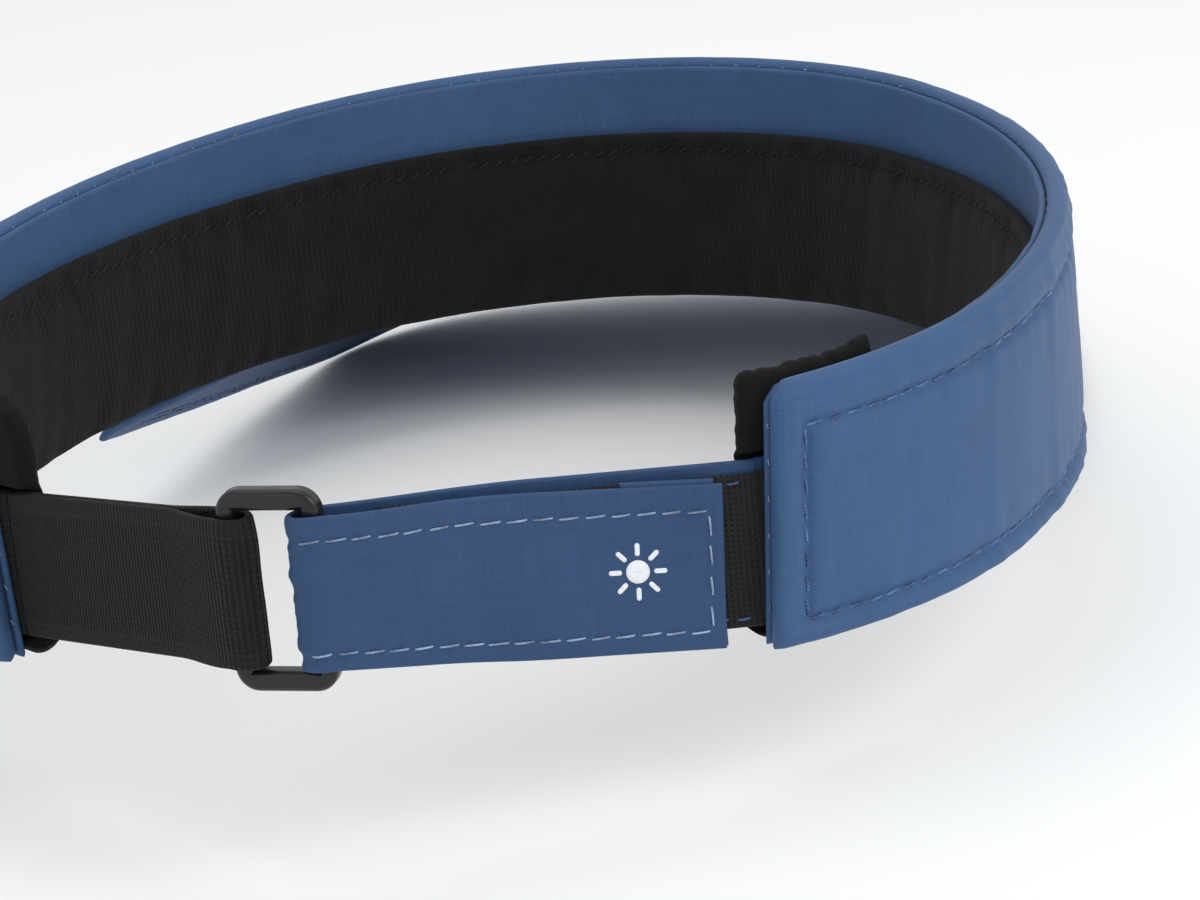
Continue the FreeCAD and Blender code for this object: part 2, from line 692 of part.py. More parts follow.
def build_fold():
    """The half turn of the strap round the ring's right bar."""
    body = new_body("strap_fold")
    plan = new_sketch(body, "XY_Plane")
    plan.setExpression("AttachmentOffset.Base.z", sizes("[ring_level] - [strap_root_level]"))
    arcs = []
    for radius in (sizes("([fold_radius] + [strap_ply])"), sizes("[fold_radius]")):
        centre = (value(sizes("[strap_reach]")), value(sizes("[fold_radius]")))
        arc = arc_chain(plan, [(*centre, value(radius), -90, 90)])
        dimension(plan, "Radius", arc[0], size=radius)
        place_point(plan, arc[0], CENTRE, sizes("[strap_reach]"), sizes("[fold_radius]"))
        for point in (START, END):
            dimension(plan, "DistanceX", *ORIGIN_POINT, arc[0], point, size=sizes("[strap_reach]"))
        arcs.append(arc)
    close_ends(plan, arcs[0], arcs[1])
    pad(body, plan, sizes("[strap_neck]"), symmetric=True)
    strap_place(body)
    return body


def build_tab():
    body = new_body("strap_tab")
    plan = new_sketch(body, "XY_Plane")
    near, far = sizes(f"{TAB_FACE}"), sizes("2 * [fold_radius]")
    inner = [("[tab_tip]", near), ("[tab_lift_start]", near), ("[tab_lift_end]", far), ("[strap_reach]", far)]
    outer = [(x, f"({y} + [strap_ply])") for x, y in inner]
    polygon(plan, [(sizes(x), sizes(y)) for x, y in inner + outer[::-1]])
    pad(body, plan, BLANK_HEIGHT, symmetric=True)
    past_ring = "([strap_reach] + 5)"
    for level, beyond in (("1", CLEAR), ("(0 - 1)", -CLEAR)):
        wide, narrow = sizes(f"{level} * [strap_width] / 2"), sizes(f"{level} * [strap_neck] / 2")
        edge = [("0", wide), ("[neck_start]", wide), ("[neck_end]", narrow), (past_ring, narrow)]
        rise = f"[tab_tip_level] + {TAB_SLOPE}"
        line = [(sizes(x), sizes(f"{z} + {rise} * ({x} - [tab_tip])")) for x, z in edge]
        corners = line + [(line[-1][0], str(beyond)), (line[0][0], str(beyond))]
        trim = new_sketch(body, "XZ_Plane")
        polygon(trim, corners)
        pocket(body, trim)
    strap_place(body)
    return body


def build_strap():
    half = "[strap_width] / 2"
    loop_tape = ribbon(
        "loop_tape", "[root_gap]", "[tape_length]", f"(0 - {half})", f"([tape_width] - {half})",
        STRAP_SLOPE, "[tape_ply]", True,
    )
    middle = f"([tab_tip_level] - {TAB_SLOPE} * [tab_tip])"
    hook_tape = ribbon(
        "hook_tape", "([tab_tip] + 2)", "([tab_lift_start] - 1)", f"({middle} - [tape_width] / 2)",
        f"({middle} + [tape_width] / 2)", TAB_SLOPE, "[tape_ply]", True, "([tape_ply] + [tab_gap])",
    )
    return [build_leg(), build_fold(), build_tab(), loop_tape, hook_tape]


# Ring and webbing.


def build_ring():
    """The ring's own frame has its origin on the right bar's axis and x towards the left bar."""
    body = new_body("ring")
    face = new_sketch(body, "XZ_Plane")
    for grow, height in (("1", "[ring_height]"), ("(0 - 1)", "[ring_window]")):
        left, right = f"(0 - {grow} * [ring_bar] / 2)", f"([ring_pitch] + {grow} * [ring_bar] / 2)"
        low, high = f"(0 - {height} / 2)", f"({height} / 2)"
        corners = [(left, low), (right, low), (right, high), (left, high)]
        polygon(face, [(sizes(x), sizes(z)) for x, z in corners])
    pad(body, face, sizes("[ring_depth]"), symmetric=True)
    outer_corners = [
        f"Edge{i}"
        for i, edge in enumerate(body.Shape.Edges, start=1)
        if edge.BoundBox.YLength > 1 and abs(edge.CenterOfMass.z) > value(sizes("[ring_window] / 2")) + 1
    ]
    round_edges(body, outer_corners, "[ring_corner]")
    rims = [
        f"Edge{i}"
        for i, edge in enumerate(body.Shape.Edges, start=1)
        if edge.BoundBox.YLength < TOUCH
    ]
    round_edges(body, rims, "[ring_round]")
    place(body, RING_X, RING_Y, sizes("[ring_level]"), sizes("[ring_angle]"))
    return body


def build_webbing():
    """The webbing's own frame has its origin on the left bar's axis and x towards the band."""
    body = new_body("webbing")
    plan = new_sketch(body, "XY_Plane")
    reach, join = sizes("([webbing_reach] - [root_gap])"), sizes("[webbing_join]")
    for radius, far_half, straight in (
        (sizes("([webbing_eye] + [webbing_ply])"), sizes("[webbing_ply]"), True),
        (sizes("[webbing_eye]"), "0", False),
    ):
        arc = arc_chain(plan, [(0, 0, value(radius), 90, 270)])[0]
        dimension(plan, "Radius", arc, size=radius)
        coincide(plan, arc, CENTRE, *ORIGIN_POINT)
        for point in (START, END):
            plan.addConstraint(Sketcher.Constraint("PointOnObject", arc, point, VERTICAL_AXIS))
        upper = [("0", radius), (join, far_half)]
        if straight:
            upper += [(reach, far_half)]
        lower = [(x, f"(0 - {y})") for x, y in upper[::-1]]
        path = upper + (lower if straight else lower[1:])
        points = [Vector(value(x), value(y), 0) for x, y in path]
        lines = [plan.addGeometry(Part.LineSegment(a, b)) for a, b in zip(points, points[1:])]
        coincide(plan, lines[0], START, arc, START)
        coincide(plan, lines[-1], END, arc, END)
        for i, (before, after) in enumerate(zip(lines, lines[1:]), start=1):
            coincide(plan, before, END, after, START)
            dimension(plan, "DistanceX", *ORIGIN_POINT, after, START, size=path[i][0])
            if value(path[i][1]):
                dimension(plan, "DistanceY", *ORIGIN_POINT, after, START, size=path[i][1])
            else:
                plan.addConstraint(Sketcher.Constraint("PointOnObject", after, START, -1))
    pad(body, plan, BLANK_HEIGHT, symmetric=True)
    half = sizes("[webbing_width] / 2")
    before_ring, past_root = "(0 - 6)", "60"
    for level, beyond in ((half, CLEAR), (f"(0 - {half})", -CLEAR)):
        line = [(before_ring, level), ("0", level), (past_root, f"({level} + {WEBBING_SLOPE} * {past_root})")]
        trim = new_sketch(body, "XZ_Plane")
        polygon(trim, line + [(past_root, str(beyond)), (before_ring, str(beyond))])
        pocket(body, trim)
    place(body, WEBBING_X, WEBBING_Y, sizes("[ring_level]"), sizes("[webbing_angle]"))
    return body


# Stitching and printed marks: groups of small separate solids, made in code from the sizes.


def group(name, solids, placement=None):
    feature = doc.addObject("Part::Feature", name)
    feature.Label = name
    feature.Shape = Part.makeCompound(solids)
    if placement:
        feature.Placement = placement
    return feature


def strap_frame():
    base = Vector(value(STRAP_X), value(STRAP_Y), value(sizes("[strap_root_level]")))
    return Placement(base, Rotation(Vector(0, 0, 1), value(sizes("[strap_angle]"))))


def tab_point(x, across):
    """A point on the tab's outer face: x along the strap, across up from the tab's middle line."""
    middle = value(sizes("[tab_tip_level]")) + value(TAB_SLOPE) * (x - value(sizes("[tab_tip]")))
    return Vector(x, value(sizes(f"{TAB_FACE} + [strap_ply]")), middle + across)


def build_stitching():
    """Two rows of stitches along the tab and one across its tip."""
    half, tip = value(sizes("[strap_width] / 2")), value(sizes("[tab_tip]"))
    pitch, length, radius = (value(sizes(f"[stitch_{part}]")) for part in ("pitch", "length", "radius"))
    first = tip + value(sizes("[stitch_tip_inset]"))
    last = value(sizes("[tab_lift_start]"))
    top = half - value(sizes("[stitch_top_inset]"))
    bottom = value(sizes("[stitch_bottom_inset]")) - half
    rows = [(tab_point(first, across), tab_point(last, across)) for across in (top, bottom)]
    rows.append((tab_point(first, bottom), tab_point(first, top)))
    stitches = []
    for start, end in rows:
        along = (end - start).normalize()
        for i in range(int((end - start).Length // pitch)):
            foot = start + along * (i * pitch + (pitch - length) / 2) + Vector(0, radius, 0)
            stitches.append(Part.makeCylinder(radius, length, foot, along))
    return group("tab_stitching", stitches, strap_frame())


def build_tab_mark():
    """A sun: a disc and eight rays, printed on the tab."""
    ply, rays = value(sizes("[mark_ply]")), 8
    start, end, width = (value(sizes(f"[ray_{part}]")) for part in ("start", "end", "width"))
    centre = tab_point(value(sizes("[mark_place]")), 0)
    outwards = Vector(0, 1, 0)
    pieces = [Part.makeCylinder(value(sizes("[sun_disc]")), ply, centre, outwards)]
    for i in range(rays):
        ray = Part.makeBox(end - start, ply, width, centre + Vector(start, 0, -width / 2))
        ray.rotate(centre, outwards, i * 360 / rays)
        pieces.append(ray)
    return group("tab_mark", pieces, strap_frame())


def build_side_mark():
    """Three plain upright bars printed on the band's right side."""
    radius = value(sizes("[side_radius]"))
    centre = Vector(value(SIDE_CENTRE_X), value(SIDE_CENTRE_Y), value(sizes("[side_mark_level]")))
    height, bar = value(sizes("[side_mark_height]")), value(sizes("[side_mark_bar]"))
    step = math.degrees(bar / radius)
    bars = []
    for i, share in enumerate((1.0, 0.7, 0.4)):
        heading = value(sizes("[side_mark_heading]")) + 2 * step * i
        start = Vector(radius, 0, 0)
        ring = [
            Part.makeCylinder(r, height * share, centre, Vector(0, 0, 1), step)
            for r in (radius + value(sizes("[mark_ply]")), radius)
        ]
        piece = ring[0].cut(ring[1])
        piece.rotate(centre, Vector(0, 0, 1), 90 + heading)
        bars.append(piece)
    return group("side_mark", bars)


def check(parts):
    for thing in doc.Objects:
        if {"Invalid", "Error"} & set(thing.State):
            raise RuntimeError(f"{thing.Name} failed: {thing.State}")
    for part in parts:
        if part.Shape.isNull() or not part.Shape.isValid() or part.Shape.Volume <= 0:
            raise RuntimeError(f"{part.Label} has no valid solid")


def main():
    parts = [*build_band(), *build_band_ends(), *build_brim(), *build_strap()]
    parts += [build_ring(), build_webbing(), build_stitching(), build_tab_mark(), build_side_mark()]
    doc.recompute()
    check(parts)
    os.makedirs("parts", exist_ok=True)
    for part in parts:
        part.Shape.exportStep(f"parts/{part.Label}.step")
        print(f"{part.Label:20s} {len(part.Shape.Solids):3d} solids {part.Shape.Volume:10.1f} mm3")


main()
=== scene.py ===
"""The looks of the sun visor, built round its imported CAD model.

Lengths here are millimetres in the model's own frame: the wearer faces -Y, the wearer's left is +X,
+Z is up, and the origin is the centre of the head opening, level with the band's bottom edge. Meshes
are scaled to metres as they are made.

The band is described by a place u along its outer face, from the wearer's right end to the left one,
a height z and a depth below the outer face. The strap, the ring and the webbing have flat frames of
their own, turned about the vertical.
"""

import math

import bpy
import numpy as np
from mathutils import Matrix, Vector


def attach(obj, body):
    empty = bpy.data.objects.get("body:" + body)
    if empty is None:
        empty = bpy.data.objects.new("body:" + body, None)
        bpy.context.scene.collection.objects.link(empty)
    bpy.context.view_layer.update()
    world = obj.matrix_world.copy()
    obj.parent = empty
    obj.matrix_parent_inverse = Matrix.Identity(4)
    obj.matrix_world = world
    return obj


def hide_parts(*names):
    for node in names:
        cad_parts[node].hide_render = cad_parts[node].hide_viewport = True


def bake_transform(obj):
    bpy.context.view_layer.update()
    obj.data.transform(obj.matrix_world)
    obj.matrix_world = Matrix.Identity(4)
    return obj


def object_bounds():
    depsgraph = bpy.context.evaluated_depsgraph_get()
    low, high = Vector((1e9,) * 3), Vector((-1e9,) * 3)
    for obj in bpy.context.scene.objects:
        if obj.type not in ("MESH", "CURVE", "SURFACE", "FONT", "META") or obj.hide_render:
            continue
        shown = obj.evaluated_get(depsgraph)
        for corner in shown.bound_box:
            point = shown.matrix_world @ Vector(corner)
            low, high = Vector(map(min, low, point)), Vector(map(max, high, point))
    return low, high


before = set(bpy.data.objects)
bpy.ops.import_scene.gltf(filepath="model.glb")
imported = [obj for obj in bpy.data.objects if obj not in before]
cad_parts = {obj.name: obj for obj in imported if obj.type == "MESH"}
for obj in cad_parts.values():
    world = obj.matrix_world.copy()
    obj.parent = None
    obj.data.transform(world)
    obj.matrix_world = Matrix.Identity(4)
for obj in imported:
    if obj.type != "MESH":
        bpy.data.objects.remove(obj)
cad_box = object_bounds()

MM = 0.001
CLOTH_UV = "Cloth"

# Band outline in plan: five tangent arcs, by the heading at which each one starts.
HEADINGS = np.array([34.6, 75.6, 131.6, 228.4, 284.4, 325.4])
REAR_RADIUS, SIDE_RADIUS, FRONT_RADIUS = 68.0, 123.0, 70.0
RADII = np.array([REAR_RADIUS, SIDE_RADIUS, FRONT_RADIUS, SIDE_RADIUS, REAR_RADIUS])
END_LINE = 75.0
END_HEIGHT, TOP_RISE, END_SLANT = 34.8, 0.028, 3.0
CORNER_FOLD = 2.2  # how much of the ends' top corners is folded in
BRIM_END_LINE = -20.0  # only ahead of this line can the band sit on the brim

# Depths of the band's layers, and the sizes of what is sewn inside it.
LINING_DEPTH, INNER_FACE, SWEATBAND_PLY = 3.0, 4.2, 2.4
PAD_DEPTH, PAD_CHANNEL, PAD_FRONT_HEADING, PAD_HEIGHT = 7.8, 6.6, 53.3, 35.3
SWEATBAND_HEADING, SWEATBAND_HEIGHT = 53.8, 28.0
SIDE_MARK_HEADING = 96.0

# Brim: a tilted cylinder shell.
BRIM_RADIUS, BRIM_TILT, BRIM_SEAT, BRIM_THICKNESS = 143.0, math.radians(12.5), 7.4, 2.8
BRIM_FRONT, BRIM_FRONT_RADIUS, BRIM_CORNER_RADIUS = 167.5, 105.0, 44.0
BRIM_FRONT_TURN, BRIM_CORNER_TURN, BRIM_END_HEADING = 23.0, 82.0, 109.0

# Strap, ring and webbing.
STRAP_ANGLE, STRAP_REACH, STRAP_WIDTH, STRAP_TAPER, STRAP_PLY = 30.4, 56.45, 22.0, 2.0, 0.8
STRAP_LEVEL, RING_LEVEL, FOLD_RADIUS, RING_PITCH, RING_ANGLE = 13.3, 19.15, 1.85, 11.0, -3.4
TAB_TIP, TAB_TIP_LEVEL = 4.9, -1.5
WEBBING_ANGLE, WEBBING_REACH, WEBBING_WIDTH, WEBBING_PLY = -36.7, 49.8, 20.0, 1.1
WEBBING_EYE, WEBBING_JOIN, WEBBING_LEVEL = 2.3, 14.0, 12.7
CROSS_SPAN = 20.0  # the width that gathers and prints across the strap and the webbing are laid out on

# Camera: where it is, what it looks at, its roll in degrees and its focal length.
CAMERA_PLACE = np.array([-148.84, 549.51, 180.23])
CAMERA_TARGET = np.array([-31.93, 75.58, 27.74])
CAMERA_ROLL, CAMERA_LENS = -5.83, 122.36


# Band outline.


def sine(degrees):
    return math.sin(math.radians(degrees))


def cosine(degrees):
    return math.cos(math.radians(degrees))


END_HEADING, SIDE_HEADING, FRONT_HEADING = HEADINGS[:3]
REAR_X = (FRONT_RADIUS - SIDE_RADIUS) * sine(FRONT_HEADING) + (SIDE_RADIUS - REAR_RADIUS) * sine(SIDE_HEADING)
REAR_Y = END_LINE - REAR_RADIUS * cosine(END_HEADING)
SIDE_X = (SIDE_RADIUS - FRONT_RADIUS) * sine(FRONT_HEADING)
FRONT_Y = REAR_Y - (SIDE_RADIUS - REAR_RADIUS) * cosine(SIDE_HEADING)
FRONT_Y -= (FRONT_RADIUS - SIDE_RADIUS) * cosine(FRONT_HEADING)
SIDE_Y = FRONT_Y + (FRONT_RADIUS - SIDE_RADIUS) * cosine(FRONT_HEADING)
CENTRES = np.array(
    [(-REAR_X, REAR_Y), (SIDE_X, SIDE_Y), (0.0, FRONT_Y), (-SIDE_X, SIDE_Y), (REAR_X, REAR_Y)]
)
ARC_STARTS = np.concatenate([[0.0], np.cumsum(RADII * np.radians(np.diff(HEADINGS)))])
BAND_LENGTH = ARC_STARTS[-1]
BRIM_SEAT_LINE = FRONT_Y - FRONT_RADIUS


def outline(u, depth):
    """x and y of the band at a place along it and a depth below its outer face."""
    arc = np.clip(np.searchsorted(ARC_STARTS, u, side="right") - 1, 0, len(RADII) - 1)
    heading = np.radians(HEADINGS[arc]) + (u - ARC_STARTS[arc]) / RADII[arc]
    reach = RADII[arc] - depth
    return CENTRES[arc, 0] - reach * np.sin(heading), CENTRES[arc, 1] + reach * np.cos(heading)


def along(heading):
    """The place along the band at which it has a heading."""
    return float(np.interp(heading, HEADINGS, ARC_STARTS))


def brim_level(x, y, depth):
    """The height of the brim's shell above a point in plan, at a depth below its upper face."""
    drop = np.sqrt((BRIM_RADIUS - depth) ** 2 - x**2) - BRIM_RADIUS
    run = -(y - BRIM_SEAT_LINE + drop * math.sin(BRIM_TILT)) / math.cos(BRIM_TILT)
    return BRIM_SEAT - run * math.sin(BRIM_TILT) + drop * math.cos(BRIM_TILT)


def band_levels(u):
    """The band's bottom, where it sits on the brim or on nothing, and its sloping top."""
    x, y = outline(u, 0)
    bottom = np.where(y < BRIM_END_LINE, np.maximum(brim_level(x, y, 0), 0), 0)
    folded = np.clip(1 - np.minimum(u, BAND_LENGTH - u) / CORNER_FOLD, 0, 1) ** 1.5
    return bottom, END_HEIGHT + TOP_RISE * (END_LINE - y) - CORNER_FOLD * folded


def band_point(u, z, depth):
    """A point of the band. Its ends lean, so that the bottom reaches further round the head."""
    lean = END_SLANT / END_HEIGHT * z * (1 - 2 * u / BAND_LENGTH)
    x, y = outline(u + lean, depth)
    return np.stack([x, y, z + 0 * x], -1)


# Mesh tools.


def ripple(t, wavelengths, seed):
    """A smooth irregular wave between about -1 and 1 along t."""
    chance = np.random.default_rng(seed)
    phases = chance.uniform(0, 2 * math.pi, len(wavelengths))
    waves = [np.sin(2 * math.pi * t / length + phase) for length, phase in zip(wavelengths, phases)]
    return sum(waves) / len(wavelengths)


def lattice(length, step, edge, lines=(), fine=0.35):
    """Places from 0 to length, closer together at both ends and near the lines."""
    reach = 1.6
    near = edge * (1 - np.cos(np.linspace(0, math.pi / 2, 6)))
    places = [near, length - near, np.arange(edge, length - edge, step)]
    places += [np.arange(line - reach, line + reach, fine) for line in lines]
    places = np.unique(np.concatenate(places))
    kept = [0.0]
    for place in places:
        room = min(edge * 0.03 if place < edge or place > length - edge else fine * 0.6, fine)
        if place - kept[-1] > room and 0 < place < length:
            kept.append(place)
    return np.array([*kept, length])


def rounded(share):
    return np.sqrt(1 - (1 - np.clip(share, 0, 1)) ** 2)


def value_at(rule, *place):
    """What a rule gives at a place, or the number that stands in for it."""
    return rule(*place) if callable(rule) else rule


def panel(us, vs, place, near, far, edge, width):
    """Points, faces and cloth coordinates of a closed flat piece with a rounded border.

    us are places along it and vs, from 0 to 1, across it. near and far give the depths of its two
    faces, edge is how far in from the border the rounding reaches, and width is its size across.
    """
    u, v = np.meshgrid(us, vs, indexing="ij")
    across = value_at(width, u)
    share = rounded(np.minimum(u - us[0], us[-1] - u) / edge)
    share = share * rounded(np.minimum(v, 1 - v) * across / edge)
    faces = [value_at(depth, u, v) + 0 * u for depth in (near, far)]
    middle = (faces[0] + faces[1]) / 2
    sheets = [place(u, v, middle + (depth - middle) * share) for depth in faces]
    cloth = np.stack([u, v * across], -1)

    rows, columns = u.shape
    upper = np.arange(rows * columns).reshape(rows, columns)
    lower = upper.copy()
    inside = (rows - 2) * (columns - 2)
    lower[1:-1, 1:-1] = rows * columns + np.arange(inside).reshape(rows - 2, columns - 2)
    quads = [
        np.stack([index[:-1, :-1], index[1:, :-1], index[1:, 1:], index[:-1, 1:]], -1).reshape(-1, 4)
        for index in (upper, lower)
    ]
    points = np.concatenate([sheets[0].reshape(-1, 3), sheets[1][1:-1, 1:-1].reshape(-1, 3)])
    cloth = np.concatenate([cloth.reshape(-1, 2), cloth[1:-1, 1:-1].reshape(-1, 2)])
    return points, np.concatenate([quads[0], quads[1][:, ::-1]]), cloth


def signed_volume(points, faces):
    a, b, c, d = (points[faces[:, i]] for i in range(4))
    return np.einsum("ij,ij->i", a, np.cross(b, c) + np.cross(c, d)).sum() / 6


def added(name, data):
    """An object of the scene that shows the data."""
    thing = bpy.data.objects.new(name, data)
    bpy.context.scene.collection.objects.link(thing)
    return thing


def make(name, shape, material, body=None, replaces=()):
    """An object of the visor from points, faces and cloth coordinates in millimetres."""
    points, faces, cloth = shape
    if signed_volume(points, faces) < 0:
        faces = faces[:, ::-1]
    mesh = bpy.data.meshes.new(name)
    mesh.from_pydata((points * MM).tolist(), [], faces.tolist())
    corners = np.zeros(len(mesh.loops), int)
    mesh.loops.foreach_get("vertex_index", corners)
    layer = mesh.uv_layers.new(name=CLOTH_UV)
    layer.data.foreach_set("uv", cloth[corners].astype(np.float32).ravel())
    mesh.polygons.foreach_set("use_smooth", np.ones(len(mesh.polygons), bool))
    mesh.materials.append(material)
    mesh.update()
    thing = added(name, mesh)
    if replaces:
        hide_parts(*replaces)
    if body:
        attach(thing, body)
    return thing


def joined(shapes):
    """One shape from several."""
    offsets = np.cumsum([0] + [len(points) for points, _, _ in shapes])
    return (
        np.concatenate([points for points, _, _ in shapes]),
        np.concatenate([faces + offset for (_, faces, _), offset in zip(shapes, offsets)]),
        np.concatenate([cloth for _, _, cloth in shapes]),
    )


def run_along(points):
    """The distance run along a line of points."""
    return np.concatenate([[0], np.cumsum(np.linalg.norm(np.diff(points, axis=0), axis=1))])


def threads(rows, pitch=3.1, length=2.35, radius=0.2, slant=0.12, seed=1, sides=8, rings=9):
    """Stitches along rows. Each row is a pair of arrays: points on the cloth and its normals there."""
    chance = np.random.default_rng(seed)
    shapes = []
    share = np.linspace(-1, 1, rings)
    swell = radius * np.maximum(np.sqrt(np.clip(1 - share**8, 0, 1)), 0.3)
    height = radius * (0.75 - 1.75 * share**4)
    turn = np.linspace(0, 2 * math.pi, sides, endpoint=False)
    for points, normals in rows:
        run = run_along(points)
        count = max(1, int(run[-1] / pitch))
        middles = (np.arange(count) + 0.5) * run[-1] / count + chance.normal(0, 0.05, count)
        reach = length / 2 * chance.uniform(0.92, 1.05, count)
        t = middles[:, None] + share * reach[:, None]
        centre = np.stack([np.interp(t, run, points[:, i]) for i in range(3)], -1)
        normal = np.stack([np.interp(t, run, normals[:, i]) for i in range(3)], -1)
        normal /= np.linalg.norm(normal, axis=-1, keepdims=True)
        tangent = np.gradient(centre, axis=1)
        tangent /= np.linalg.norm(tangent, axis=-1, keepdims=True)
        side = np.cross(normal, tangent)
        aside = slant * share + chance.normal(0, 0.05, count)[:, None]
        centre = centre + side * aside[..., None] + normal * height[:, None]
        ring = np.cos(turn)[:, None] * side[..., None, :] + np.sin(turn)[:, None] * normal[..., None, :]
        surface = centre[..., None, :] + ring * swell[:, None, None]
        index = np.arange(count * rings * sides).reshape(count, rings, sides)
        after = np.roll(index, -1, axis=2)
        quads = np.stack([index[:, :-1], after[:, :-1], after[:, 1:], index[:, 1:]], -1).reshape(-1, 4)
        cloth = np.stack([np.broadcast_to(t[..., None], index.shape), np.broadcast_to(turn, index.shape)], -1)
        shapes.append((surface.reshape(-1, 3), quads, cloth.reshape(-1, 2)))
    return joined(shapes)


def normals_of(face, u, v):
    """Unit normals of face(u, v), by small steps along and across it."""
    step = 0.2
    a = face(u + step, v) - face(u - step, v)
    b = face(u, v + step / 40) - face(u, v - step / 40)
    normal = np.cross(a, b)
    return normal / np.linalg.norm(normal, axis=-1, keepdims=True)


def row_on(face, u, v, outwards=1.0):
    """A row for threads() along the places (u, v) of a face."""
    return face(u, v), outwards * normals_of(face, u, v)


# Materials.


def shade(colour, factor):
    return (*(channel * factor for channel in colour[:3]), 1.0)


class Finish:
    """A procedural material being put together."""

    def __init__(self, name, **settings):
        self.material = bpy.data.materials.new(name)
        self.material.use_nodes = True
        self.tree = self.material.node_tree
        self.shader = self.tree.nodes["Principled BSDF"]
        self.set(**settings)
        self.cloth = self.node("UVMap", uv_map=CLOTH_UV)
        parts = self.tree.nodes.new("ShaderNodeSeparateXYZ")
        self.put(parts.inputs[0], self.cloth)
        self.u, self.v = parts.outputs[0], parts.outputs[1]
        self.place = self.tree.nodes.new("ShaderNodeTexCoord").outputs["Object"]

    def put(self, socket, value):
        if isinstance(value, bpy.types.NodeSocket):
            self.tree.links.new(value, socket)
        else:
            socket.default_value = value

    def set(self, **settings):
        for name, value in settings.items():
            self.put(self.shader.inputs[name.replace("_", " ")], value)

    def node(self, kind, *values, **named):
        made = self.tree.nodes.new("ShaderNode" + kind)
        for name, value in named.items():
            if name in made.inputs:
                self.put(made.inputs[name], value)
            else:
                setattr(made, name, value)
        for socket, value in zip(made.inputs, values):
            self.put(socket, value)
        return made.outputs[0]

    def sum(self, a, b):
        return self.node("Math", a, b, operation="ADD")

    def times(self, a, b):
        return self.node("Math", a, b, operation="MULTIPLY")

    def wave(self, t, length, shift=0.0):
        """A sine wave along t, from -1 to 1."""
        angle = self.sum(self.times(t, 2 * math.pi / length), shift)
        return self.node("Math", angle, operation="SINE")

    def noise(self, scale, detail=2.0, stretch=None, rough=0.5):
        """Noise, about 0 to 1: over the cloth where stretch gives its cells per millimetre, else in space."""
        if stretch:
            vector = self.node("VectorMath", self.cloth, (*stretch, 1.0), operation="MULTIPLY")
        else:
            vector = self.place
        return self.node("TexNoise", Vector=vector, Scale=scale, Detail=detail, Roughness=rough)

    def mix(self, share, a, b):
        made = self.tree.nodes.new("ShaderNodeMix")
        made.data_type = "RGBA"
        for socket, value in zip((made.inputs[0], made.inputs[6], made.inputs[7]), (share, a, b)):
            self.put(socket, value)
        return made.outputs[2]

    def tones(self, share, colour, dark, light):
        """A colour between two strengths of itself."""
        return self.mix(share, shade(colour, dark), shade(colour, light))

    def range(self, value, low, high, start=0.0, end=1.0):
        return self.node("MapRange", value, start, end, low, high)

    def bump(self, height, depth, before=None):
        """A relief of that many millimetres."""
        named = {"Height": height, "Distance": depth * MM, "Strength": 1.0}
        if before is not None:
            named["Normal"] = before
        return self.node("Bump", **named)


def woven(name, colour, crease, pitch=0.17, roughness=0.56):
    """Plain-woven cloth with uneven yarns, faint tone changes and a soft sheen."""
    relief, streak = 0.03, 0.24
    f = Finish(name, Sheen_Weight=0.05, Sheen_Roughness=0.45, Specular_IOR_Level=0.22)
    check = f.times(f.wave(f.u, pitch * 2), f.wave(f.v, pitch * 2))
    weft = f.noise(1.0, 2.0, (0.12, 3.2))
    warp = f.noise(1.0, 2.0, (3.2, 0.12))
    yarns = f.times(f.sum(weft, warp), 0.5)
    patches = f.noise(55.0, 3.0)
    tone = f.sum(f.times(yarns, 0.7), f.times(patches, 0.3))
    light = f.tones(f.range(tone, 0, 1, 0.33, 0.67), colour, 1 - streak, 1 + streak)
    # Darker where the weave's relief is low: painted shade in the hollows between the crossing yarns.
    thread = f.mix(f.range(check, 0, 1, -1, 1), shade(colour, 0.82), light)
    f.set(Base_Color=f.mix(0.5, light, thread))
    f.set(Roughness=f.range(yarns, roughness - 0.06, roughness + 0.08, 0.3, 0.7))
    rough = f.bump(f.noise(260.0, 4.0), crease)
    f.set(Normal=f.bump(f.sum(f.times(check, 0.2), f.times(yarns, 1.6)), relief, rough))
    return f.material


RIB_PITCH = 0.7


def ribbed_webbing(name, colour):
    """Black elastic webbing: fine upright ribs of small twisted yarn loops, plain selvedges."""
    f = Finish(name, Sheen_Weight=0.02, Sheen_Roughness=0.5, Specular_IOR_Level=0.22)
    rib = f.wave(f.u, RIB_PITCH)
    beads = f.wave(f.sum(f.v, f.times(f.u, 0.12)), 0.82)
    grain = f.noise(1.0, 3.0, (2.6, 2.6))
    edge = f.node("Math", f.node("Math", f.v, WEBBING_WIDTH / 2, operation="SUBTRACT"), operation="ABSOLUTE")
    selvedge = f.range(edge, 0, 1, 7.7, 7.9)
    off_line = f.node("Math", f.sum(edge, -7.8), operation="ABSOLUTE")
    line = f.node("Math", 1.0, f.times(off_line, 3.0), operation="SUBTRACT", use_clamp=True)
    relief = f.sum(f.times(rib, 0.45), f.times(f.times(beads, f.range(rib, 0.1, 1, -1, 1)), 0.5))
    relief = f.sum(f.times(relief, f.range(selvedge, 1.0, 0.45)), f.times(grain, 0.35))
    # The colour follows the relief: painted highlights on the ribs and beads and painted shade between them,
    # with a lighter line near each selvedge.
    tone = f.sum(f.range(relief, 0.0, 0.8, -0.4, 0.8), f.times(line, 0.35))
    f.set(Base_Color=f.tones(tone, colour, 0.25, 1.7))
    f.set(Roughness=f.range(grain, 0.55, 0.8, 0.3, 0.7))
    f.set(Normal=f.bump(relief, 0.16))
    return f.material


